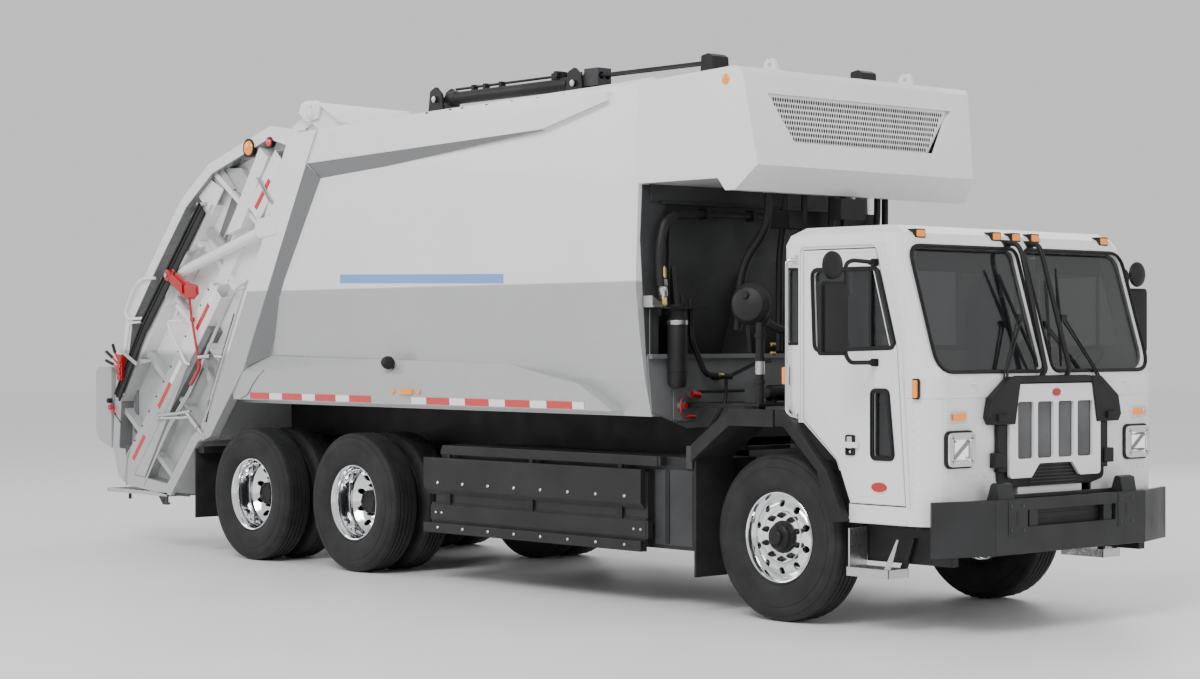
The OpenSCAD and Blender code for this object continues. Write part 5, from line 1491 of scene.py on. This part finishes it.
def gate_lines(out):
    """Thin tubes over the side."""
    t = Shape()
    for o in (0, 0.035):
        t.tube([(-5.985 + o, -1.14, 3.4), (-5.985 + o, -1.14, 3.2), (-5.87 + o, LINE_Y, 3.17),
                (-5.72 + o, LINE_Y, 2.99), (-5.66 + o, LINE_Y, 2.95)], 0.009, n=8)
        t.tube([(-6.04, LINE_Y, 2.31 - o), (-6.195 - o, LINE_Y, 2.255 - o), (-6.508, LINE_Y, 1.9 - o * 0.6),
                (-6.9, LINE_Y, 1.4 - o),
                (-7.22, LINE_Y, 1.1 - o), (-7.635 - o * 0.3, -1.19, 0.556)], 0.01, n=8)
    t.tube([(-6.02, LINE_Y, 2.33), (-6.1, LINE_Y, 2.2), (-6.366, LINE_Y, 1.7), (-6.56, LINE_Y, 1.33),
            (-6.66, LINE_Y, 1.14)], 0.009, n=8)
    t.tube([(-7.88, LINE_Y, 0.846), (-7.933, LINE_Y, 0.765), (-7.933, LINE_Y, 0.53)], 0.007, n=8)
    t.tube([(-6.5, -1.2, 1.69), (-6.38, -1.2, 1.686)], 0.012, n=8)
    for x in (-6.92, -6.8):
        t.tube([(x, FLOOR_Y, 2.6), (x - 0.5, FLOOR_Y, 2.05)], 0.01, n=8)
    for x in (-6.34, -6.26):
        t.tube([(x, -1.07, 2.96), (x - 0.28, -1.07, 2.62)], 0.01, n=8)
    out(t, "gate_lines", "steel", "white_paint", bevel=0)


def grab_loops(out):
    """Grab loops on the rear edge."""
    l = Shape()
    l.tube([(-7.46, -1.192, 2.372), (-7.635, -1.215, 2.372), (-7.775, -1.215, 2.285),
            (-7.915, -1.215, 2.075), (-7.87, -1.215, 2.016), (-7.64, -1.192, 2.02)], 0.014, n=12)
    l.tube([(-7.02, -1.192, 1.985), (-7.05, -1.21, 2.00), (-7.22, -1.21, 1.99), (-7.2, -1.21, 1.93),
            (-6.94, -1.21, 1.63), (-6.9, -1.192, 1.62)], 0.012, n=12)
    l.tube([(-7.66, -1.192, 1.99), (-7.87, -1.2, 1.98), (-7.93, -1.2, 1.74), (-7.97, -1.192, 1.7)], 0.011,
            n=12)
    out(l, "grab_loops", "white", "white_paint", bevel=0, replaces=("grab_rails",))


def control_valves(out):
    """Valve bank, its three levers and the small lever below."""
    v = Shape()
    # valve bank with three levers and the small lever under it
    for p, q in (((-7.975, 1.63), (-8.045, 1.715)), ((-7.98, 1.6), (-8.085, 1.67)),
            ((-7.985, 1.56), (-8.075, 1.61))):
        v.rod((p[0], -1.235, p[1]), (q[0], -1.24, q[1]), 0.013, 10, 0.009)
    for x, z in ((-7.955, 1.655), (-7.965, 1.6), (-7.975, 1.545), (-7.965, 1.495)):
        v.rod((x, -1.2, z), (x, -1.255, z), 0.03, 14)
    v.block(-8.00, -7.925, -1.245, -1.2, 1.47, 1.7)
    v.rod((-8.145, -1.2, 1.225), (-8.145, -1.24, 1.225), 0.026, 14)
    v.rod((-8.14, -1.22, 1.225), (-8.075, -1.22, 1.165), 0.012, 10)
    out(v, "control_valves", "red", "red_paint", bevel=0.003, replaces=("control_levers",))
    x = Shape()
    for p, q in (((-8.045, 1.715), (-8.085, 1.79)), ((-8.085, 1.67), (-8.195, 1.725)),
            ((-8.075, 1.61), (-8.2, 1.645))):
        x.rod((p[0], -1.24, p[1]), (q[0], -1.24, q[1]), 0.014, 10)
    x.rod((-8.075, -1.22, 1.165), (-7.98, -1.22, 1.09), 0.005, 8)
    x.lathe([(0, -0.02), (0.022, -0.02), (0.022, 0.02), (0, 0.02)], (-8.165, -1.225, 1.285), (0, -1, 0), 14)
    out(x, "lever_grips", "plastic", "plastic_black", bevel=0.002)


def gate_lamps(out):
    """Amber and red marker lamps with black rims."""
    for nm, mat, px, pz, rr in (("gate_lamp_amber", "amber", -6.002, 3.427, 0.062),
            ("gate_lamp_red", "red_lens", -5.7, 3.455, 0.036)):
        a = Shape()
        a.lathe([(0, 0.03), (rr * 0.5, 0.028), (rr * 0.85, 0.018), (rr, 0.006), (rr, 0), (0, 0)],
                (px, -1.1925, pz), (0, -1, 0), 32)
        out(a, nm, mat, "red_paint", bevel=0)
    a = Shape()
    for px, pz, rr in ((-6.002, 3.427, 0.064), (-5.7, 3.455, 0.038)):
        a.lathe([(rr, -0.03), (rr * 1.2, -0.03), (rr * 1.22, 0.008), (rr * 1.1, 0.013), (rr, 0.008)],
                (px, -1.1925, pz), (0, -1, 0), 32)
    out(a, "gate_lamp_rims", "hose", "plastic_black", bevel=0)


def rear_step(out):
    """Grated step in a frame."""
    p = Shape()
    x0, x1, y0, y1, z = -8.253, -7.262, -1.19, -0.78, 0.4641
    for xa, xb, ya, yb in ((x0, x1, y0, y0 + 0.012), (x0, x1, y1 - 0.012, y1), (x0, x0 + 0.012, y0, y1),
            (x1 - 0.012, x1, y0, y1)):
        p.block(xa, xb, ya, yb, z, z + 0.034)
    for i in range(20):
        xx = x0 + 0.03 + i * 0.049
        p.block(xx, xx + 0.008, y0 + 0.01, y1 - 0.01, z + 0.004, z + 0.034)
        if i % 2 == 0:
            p.block(xx - 0.006, xx + 0.02, y0 + 0.002, y0 + 0.02, z + 0.03, z + 0.036)
    for yy in (-1.09, -0.985, -0.88):
        p.block(x0 + 0.01, x1 - 0.01, yy - 0.003, yy + 0.003, z + 0.01, z + 0.03)
    out(p, "rear_step_grating", "steel", "grey_box", bevel=0.0015)


def wing_box(out):
    """Grey box beside the loading mouth."""
    m = Shape()
    # grey box beside the hopper's mouth, with a folded front edge
    m.prism(rounded([(-8.169, 1.587), (-8.385, 1.587), (-8.434, 1.545), (-8.434, 1.02), (-8.375, 0.925),
            (-8.169, 0.855)], [0.01, 0.03, 0.04, 0.04, 0.05, 0.01]),
            "y", -1.2045, -1.046)
    m.prism([(-8.36, 1.575), (-8.19, 1.575), (-8.19, 0.9), (-8.36, 0.96)], "y", -1.206, -1.2)
    out(m, "rear_wing_box", "grey", "grey_box", bevel=0.006, segments=3, replaces=("rear_step",))


def rear_brackets(out):
    """Brackets under the step and plates at the front edge."""
    c = Shape()
    c.prism([(-7.42, 0.476), (-7.262, 0.476), (-7.262, 0.392), (-7.34, 0.392)], "y", PLATE_Y, -1.176)
    c.block(-7.3, -6.98, -1.15, -1.14, 0.475, 0.5)
    c.rod((-8.02, -1.1, 0.468), (-8.02, -1.1, 0.405), 0.014, 12)
    c.prism(rounded([(-6.35, 1.33), (-6.38, 1.31), (-6.52, 1.13), (-6.49, 1.13)], 0.006), "y", -1.2, -1.189)
    c.prism(rounded([(-6.57, 1.33), (-6.6, 1.31), (-6.67, 1.13), (-6.64, 1.13)], 0.006), "y", -1.198,
            -1.189)
    out(c, "rear_brackets", "dark", "grey_box", bevel=0.002)


def gate_side(label, side):
    """The outfit of one side wall, drawn on the right."""
    def out(s, name, mat, slot, replaces=(), **k):
        s.done(name + "_" + label, mat, "tailgate", slot, replaces if side < 0 else (), side=side, **k)

    for part in (gate_guides, gate_channels, gate_webs, gate_bolts, gate_reflectors, hose_track,
            tailgate_latch, latch_turnbuckle, gate_lines, grab_loops, control_valves, gate_lamps,
            rear_step, wing_box, rear_brackets):
        part(out)


def gate_rear():
    """The back of the tailgate: ribs, lamp bars and the hopper's sill, seen from behind."""
    s = Shape()
    back = [(-5.8, 3.56), (-6.605, 3.328), (-7.036, 3.043), (-7.545, 2.486), (-7.93, 2.035)]
    for y in (-0.7, 0, 0.7):
        for a, b in zip(back[1:], back[2:]):
            v = Vector((b[0] - a[0], b[1] - a[1])).normalized()
            m = Vector((v.y, -v.x)) * 0.028
            if m.x > 0:
                m = -m
            s.prism([a, b, (b[0] + m.x, b[1] + m.y), (a[0] + m.x, a[1] + m.y)], "y", y - 0.05, y + 0.05)
    for z0, z1, x in ((1.99, 2.05, -7.965),):
        s.block(x, x + 0.05, -1.03, 1.03, z0, z1)
    s.done("gate_back_ribs", "gate", "tailgate", "white_paint", bevel=0.004)
    b = Shape()
    b.prism([(-8.168, 0.86), (-8.195, 0.87), (-8.185, 1.06), (-8.15, 1.09)], "y", -1.03, 1.03)
    b.done("hopper_sill", "dark", "tailgate", "grey_box", bevel=0.004)
    r, w = Shape(), Shape()
    for i in range(7):
        y = -0.98 + i * 0.28
        for s, o in ((r, 0), (w, 0.14)):
            s.prism([(-8.199, 0.9), (-8.1965, 0.9), (-8.19, 1.03), (-8.1925, 1.03)], "y", y + o,
                    y + o + 0.138)
    r.done("sill_reflectors_red", "tape_red", "tailgate", "red_paint", bevel=0)
    w.done("sill_reflectors_white", "tape_white", "tailgate", "white_paint", bevel=0)
    l = Shape()
    for sg in (-1, 1):
        for z in (1.06, 1.24, 1.42):
            l.lathe([(0, 0.017), (0.04, 0.013), (0.05, 0.004), (0.05, 0), (0, 0)], (-8.434, sg * 1.125, z),
                    (-1, 0, 0), 28)
    l.done("rear_lamps", "red_lens", "tailgate", "red_paint", bevel=0)
    a = Shape()
    for sg in (-1, 0, 1):
        v = Vector((-7.5 + 7.08, 2.44 - 3.00)).normalized()
        m = Vector((v.y, -v.x))
        if m.x > 0:
            m = -m
        a.lathe([(0, 0.02), (0.04, 0.014), (0.048, 0), (0, 0)], (-7.25 + m.x * 0.028, sg * 0.85,
                2.81 + m.y * 0.028), (m.x, 0, m.y), 28)
    a.done("back_markers", "amber", "tailgate", "red_paint", bevel=0)


# ---------- chassis ----------
def chassis():
    for n, m, b in (("chassis_frame", "black", 0.004), ("engine_block", "dark", 0.012),
            ("front_axle", "black", 0.006),
                    ("drive_axles", "black", 0.006), ("rear_suspension", "black", 0.005), ("mudguards",
                            "rubber", 0.003),
                    ("side_guards", "guard", 0.004), ("knuckle_right", "dark", 0.004), ("knuckle_left",
                            "dark", 0.004)):
        keep(n, m, b, 2)
    for label, side in SIDES:
        guard_details(label, side)
        steps(label, side)
    bumper_details()
    running_gear()


def guard_details(label, side):
    b, t, k, g, d = Shape(), Shape(), Shape(), Shape(), Shape()
    for i in range(8):
        x = -3.485 + i * 0.2955
        b.bolt((x, -1.19, 0.751), (0, -1, 0), 0.013, 0.009)
        b.bolt((x, -1.19, 0.415), (0, -1, 0), 0.012, 0.008)
    for x in (-3.54, -3.47, -1.35, -1.28):
        b.bolt((x, -1.165, 0.525), (0, -1, 0), 0.01, 0.007)
    b.done("guard_bolts_" + label, "steel", "chassis", "black_paint", bevel=0, side=side)
    # folded faces of the two rails and the shelf over them
    t.prism(rounded([(-3.642, 0.7), (-3.642, 0.935), (-1.253, 0.935), (-1.253, 0.7)], 0.012), "y", -1.1925,
            -1.186)
    t.prism(rounded([(-3.642, 0.378), (-3.642, 0.447), (-1.253, 0.447), (-1.253, 0.378)], 0.01), "y",
            -1.1925, -1.186)
    t.prism([(-3.47, 1.034), (-3.497, 0.995), (-3.497, 0.964), (-1.128, 0.964), (-1.128, 1.034)], "y",
            -1.156, -1.148)
    t.block(-3.6, -1.23, -1.1685, -1.16, 0.47, 0.58)
    t.done("guard_rails_" + label, "guard", "chassis", "guard_black", bevel=0.003, side=side)
    for x in (-3.4, -2.45, -1.5):
        k.block(x - 0.028, x + 0.028, -1.163, -1.15, 0.585, 0.7)
        k.block(x - 0.02, x + 0.02, -1.158, -1.135, 0.935, 0.975)
    k.done("guard_brackets_" + label, "black", "chassis", "black_paint", bevel=0.002, side=side)
    # a tank with two straps and a cap in front of the side guard
    g.block(-1.205, -0.7, -1.1, -0.66, 0.425, 0.945)
    g.prism(rounded([(-0.882, 0.955), (-0.882, 1.113), (-0.822, 1.113), (-0.822, 0.955)], 0.006), "y",
            -1.12, -1.108)
    g.done("side_tank_" + label, "dark", "chassis", "grey_box", bevel=0.022, segments=4, side=side)
    for x in (-1.08, -0.82):
        d.prism(rounded([(-1.106, 0.42), (-0.66, 0.42), (-0.66, 0.951), (-1.106, 0.951)], 0.03), "x",
                x - 0.02, x + 0.02)
    d.lathe([(0, 0.05), (0.05, 0.05), (0.056, 0.04), (0.056, 0.0), (0, 0.0)], (-0.95, -0.9, 0.944),
            (0, 0, 1), 28)
    d.block(-1.22, -1.1, -1.02, -0.94, 0.392, 0.43)
    d.done("tank_straps_" + label, "black", "chassis", "black_paint", bevel=0.003, side=side)


def steps(label, side):
    s, c = Shape(), Shape()
    x0, x1, y0, y1 = 0.64, 0.99, -1.205, -1.013
    for a, b, p, q in ((x0, x1, y0, y0 + 0.006), (x0, x1, y1 - 0.006, y1), (x0, x0 + 0.006, y0, y1),
            (x1 - 0.006, x1, y0, y1)):
        s.block(a, b, p, q, 0.3502, 0.406)
    for i in range(9):
        x = x0 + 0.02 + i * 0.0375
        s.block(x, x + 0.006, y0 + 0.004, y1 - 0.004, 0.368, 0.406)
    for i in range(5):
        y = y0 + 0.02 + i * 0.0375
        s.block(x0 + 0.003, x1 - 0.003, y, y + 0.005, 0.38, 0.402)
    for i in range(12):
        x = x0 + 0.012 + i * 0.029
        s.prism([(x, 0.4055), (x + 0.012, 0.4055), (x + 0.006, 0.4075)], "y", y0, y0 + 0.008)
    s.prism([(0.935, 0.4), (0.985, 0.4), (1.055, 0.598), (1.04, 0.598)], "y", -1.188, -1.18)
    s.prism([(0.644, 0.4), (0.656, 0.4), (0.656, 0.648), (0.644, 0.648)], "y", -1.188, -1.02)
    s.done("step_grating_" + label, "steel", "chassis", "grey_box", bevel=0.001, segments=1, side=side)
    c.block(0.644, 1.33, -1.01, -0.942, 0.434, 0.656)
    c.block(1.204, 1.326, -0.943, -0.434, 0.564, 0.636)
    c.prism([(0.936, 0.405), (0.986, 0.405), (1.056, 0.598), (1.038, 0.598)], "y", -1.04, -1.012)
    c.done("step_box_" + label, "black", "chassis", "black_paint", ("entry_steps",) if side < 0 else (),
            bevel=0.006, segments=3, side=side)


def bumper_details():
    s, b, d, f = Shape(), Shape(), Shape(), Shape()
    face = [(-0.783, 0.5), (0.783, 0.5), (0.783, 0.843), (-0.783, 0.843)]
    slot = [(-0.46, 0.668), (0.46, 0.668), (0.46, 0.77), (-0.46, 0.77)]
    s.ring_prism(face, slot, "x", 1.456, 1.49)
    for sg in (-1, 1):
        s.prism([(1.35, sg * 1.2229), (1.49, sg * 0.783), (1.456, sg * 0.783), (1.322, sg * 1.205)], "z",
                0.5, 0.843)
        s.block(1.305, 1.478, *sorted((sg * 0.345, sg * 0.432)), 0.6, 0.812)
        s.prism([(1.368, 0.836), (1.47, 0.836), (1.45, 0.935), (1.41, 0.945), (1.396, 0.93)], "y",
                *sorted((sg * 0.567, sg * 0.72)))
    s.prism([(1.335, 1.18), (1.475, 0.783), (1.475, -0.783), (1.335, -1.18)], "z", 0.812, 0.836)
    s.block(1.374, 1.384, -0.57, 0.57, 0.836, 0.862)
    s.done("bumper_shell", "bumper", "chassis", "bumper_black", ("front_bumper",), bevel=0.007, segments=3)
    d.block(1.43, 1.436, -0.47, 0.47, 0.66, 0.78)
    for z in (0.7, 0.735):
        d.block(1.435, 1.442, -0.455, 0.455, z - 0.004, z + 0.004)
    for sg in (-1, 1):
        y = sg * 0.57
        f.prism(rounded([(y - 0.088, 0.615), (y + 0.088, 0.615), (y + 0.088, 0.836), (y - 0.088, 0.836)],
                0.01), "x", 1.488, 1.4935)
        for dy in (-0.06, 0.06):
            for z in (0.65, 0.8):
                b.bolt((1.4935, y + dy, z), (1, 0, 0), 0.012, 0.004)
        d.prism(rounded([(y - 0.012, 0.68), (y + 0.012, 0.68), (y + 0.012, 0.77), (y - 0.012, 0.77)],
                0.011), "x", 1.493, 1.4945)
    f.done("bumper_brackets", "bumper", "chassis", "bumper_black", bevel=0.001)
    b.done("bumper_bolts", "dark", "chassis", "bumper_black", bevel=0)
    d.done("bumper_slot_mesh", "black", "chassis", "bumper_black", bevel=0)


def running_gear():
    """Air lines and a driveshaft under the frame."""
    s = Shape()
    s.rod((-1.14, 0, 0.86), (-3.7, 0, 0.62), 0.055, 24)
    s.rod((-3.7, 0, 0.62), (-4.3, 0, 0.6), 0.048, 24)
    for x, z in ((-1.2, 0.855), (-3.64, 0.626)):
        s.rod((x, 0, z), (x - 0.1, 0, z - 0.009), 0.08, 24)
    s.done("driveshaft", "dark", "chassis", "black_paint", bevel=0.004)
    t = Shape()
    for sg in (-1, 1):
        for i in range(3):
            t.tube([(-1.3, sg * 0.325, 0.84 + i * 0.03), (-2.6, sg * 0.325, 0.86 + i * 0.03),
                    (-3.85, sg * 0.325, 0.84 + i * 0.03)], 0.01, n=8)
    t.done("frame_lines", "hose", "chassis", "plastic_black", bevel=0)


# ---------- stage ----------
def stage():
    me = bpy.data.meshes.new("floor")
    me.from_pydata([(-60, -60, 0), (60, -60, 0), (60, 60, 0), (-60, 60, 0)], [], [(0, 1, 2, 3)])
    floor = bpy.data.objects.new("floor", me)
    scene.collection.objects.link(floor)
    n = Nodes("floor_pale", (0.93, 0.93, 0.93), 0.42)
    n.to("Roughness", n.ramp(n.noise(0.4, 4), [(0.3, 0.36), (0.7, 0.5)]))
    me.materials.append(n.m)
    w = bpy.data.worlds.new("studio")
    scene.world = w
    w.use_nodes = True
    bg = w.node_tree.nodes["Background"]
    bg.inputs[0].default_value = (1, 1, 1, 1)
    bg.inputs[1].default_value = 0.8
    lights = (
        ("key", (8, -15, 15), 8, 2700),
        ("front_fill", (22, 3, 7), 9, 550),
        ("rear_fill", (-14, -10, 9), 8, 550),
        ("back_fill", (-4, 14, 9), 10, 500),
    )
    for name, at, size, power in lights:
        l = bpy.data.objects.new(name, bpy.data.lights.new(name, "AREA"))
        l.data.size = size
        l.data.energy = power
        l.location = at
        l.rotation_euler = (Vector((0, 0, 1.6)) - Vector(at)).to_track_quat("-Z", "Y").to_euler()
        scene.collection.objects.link(l)


wheels()
cab()
body()
tailgate()
chassis()
stage()
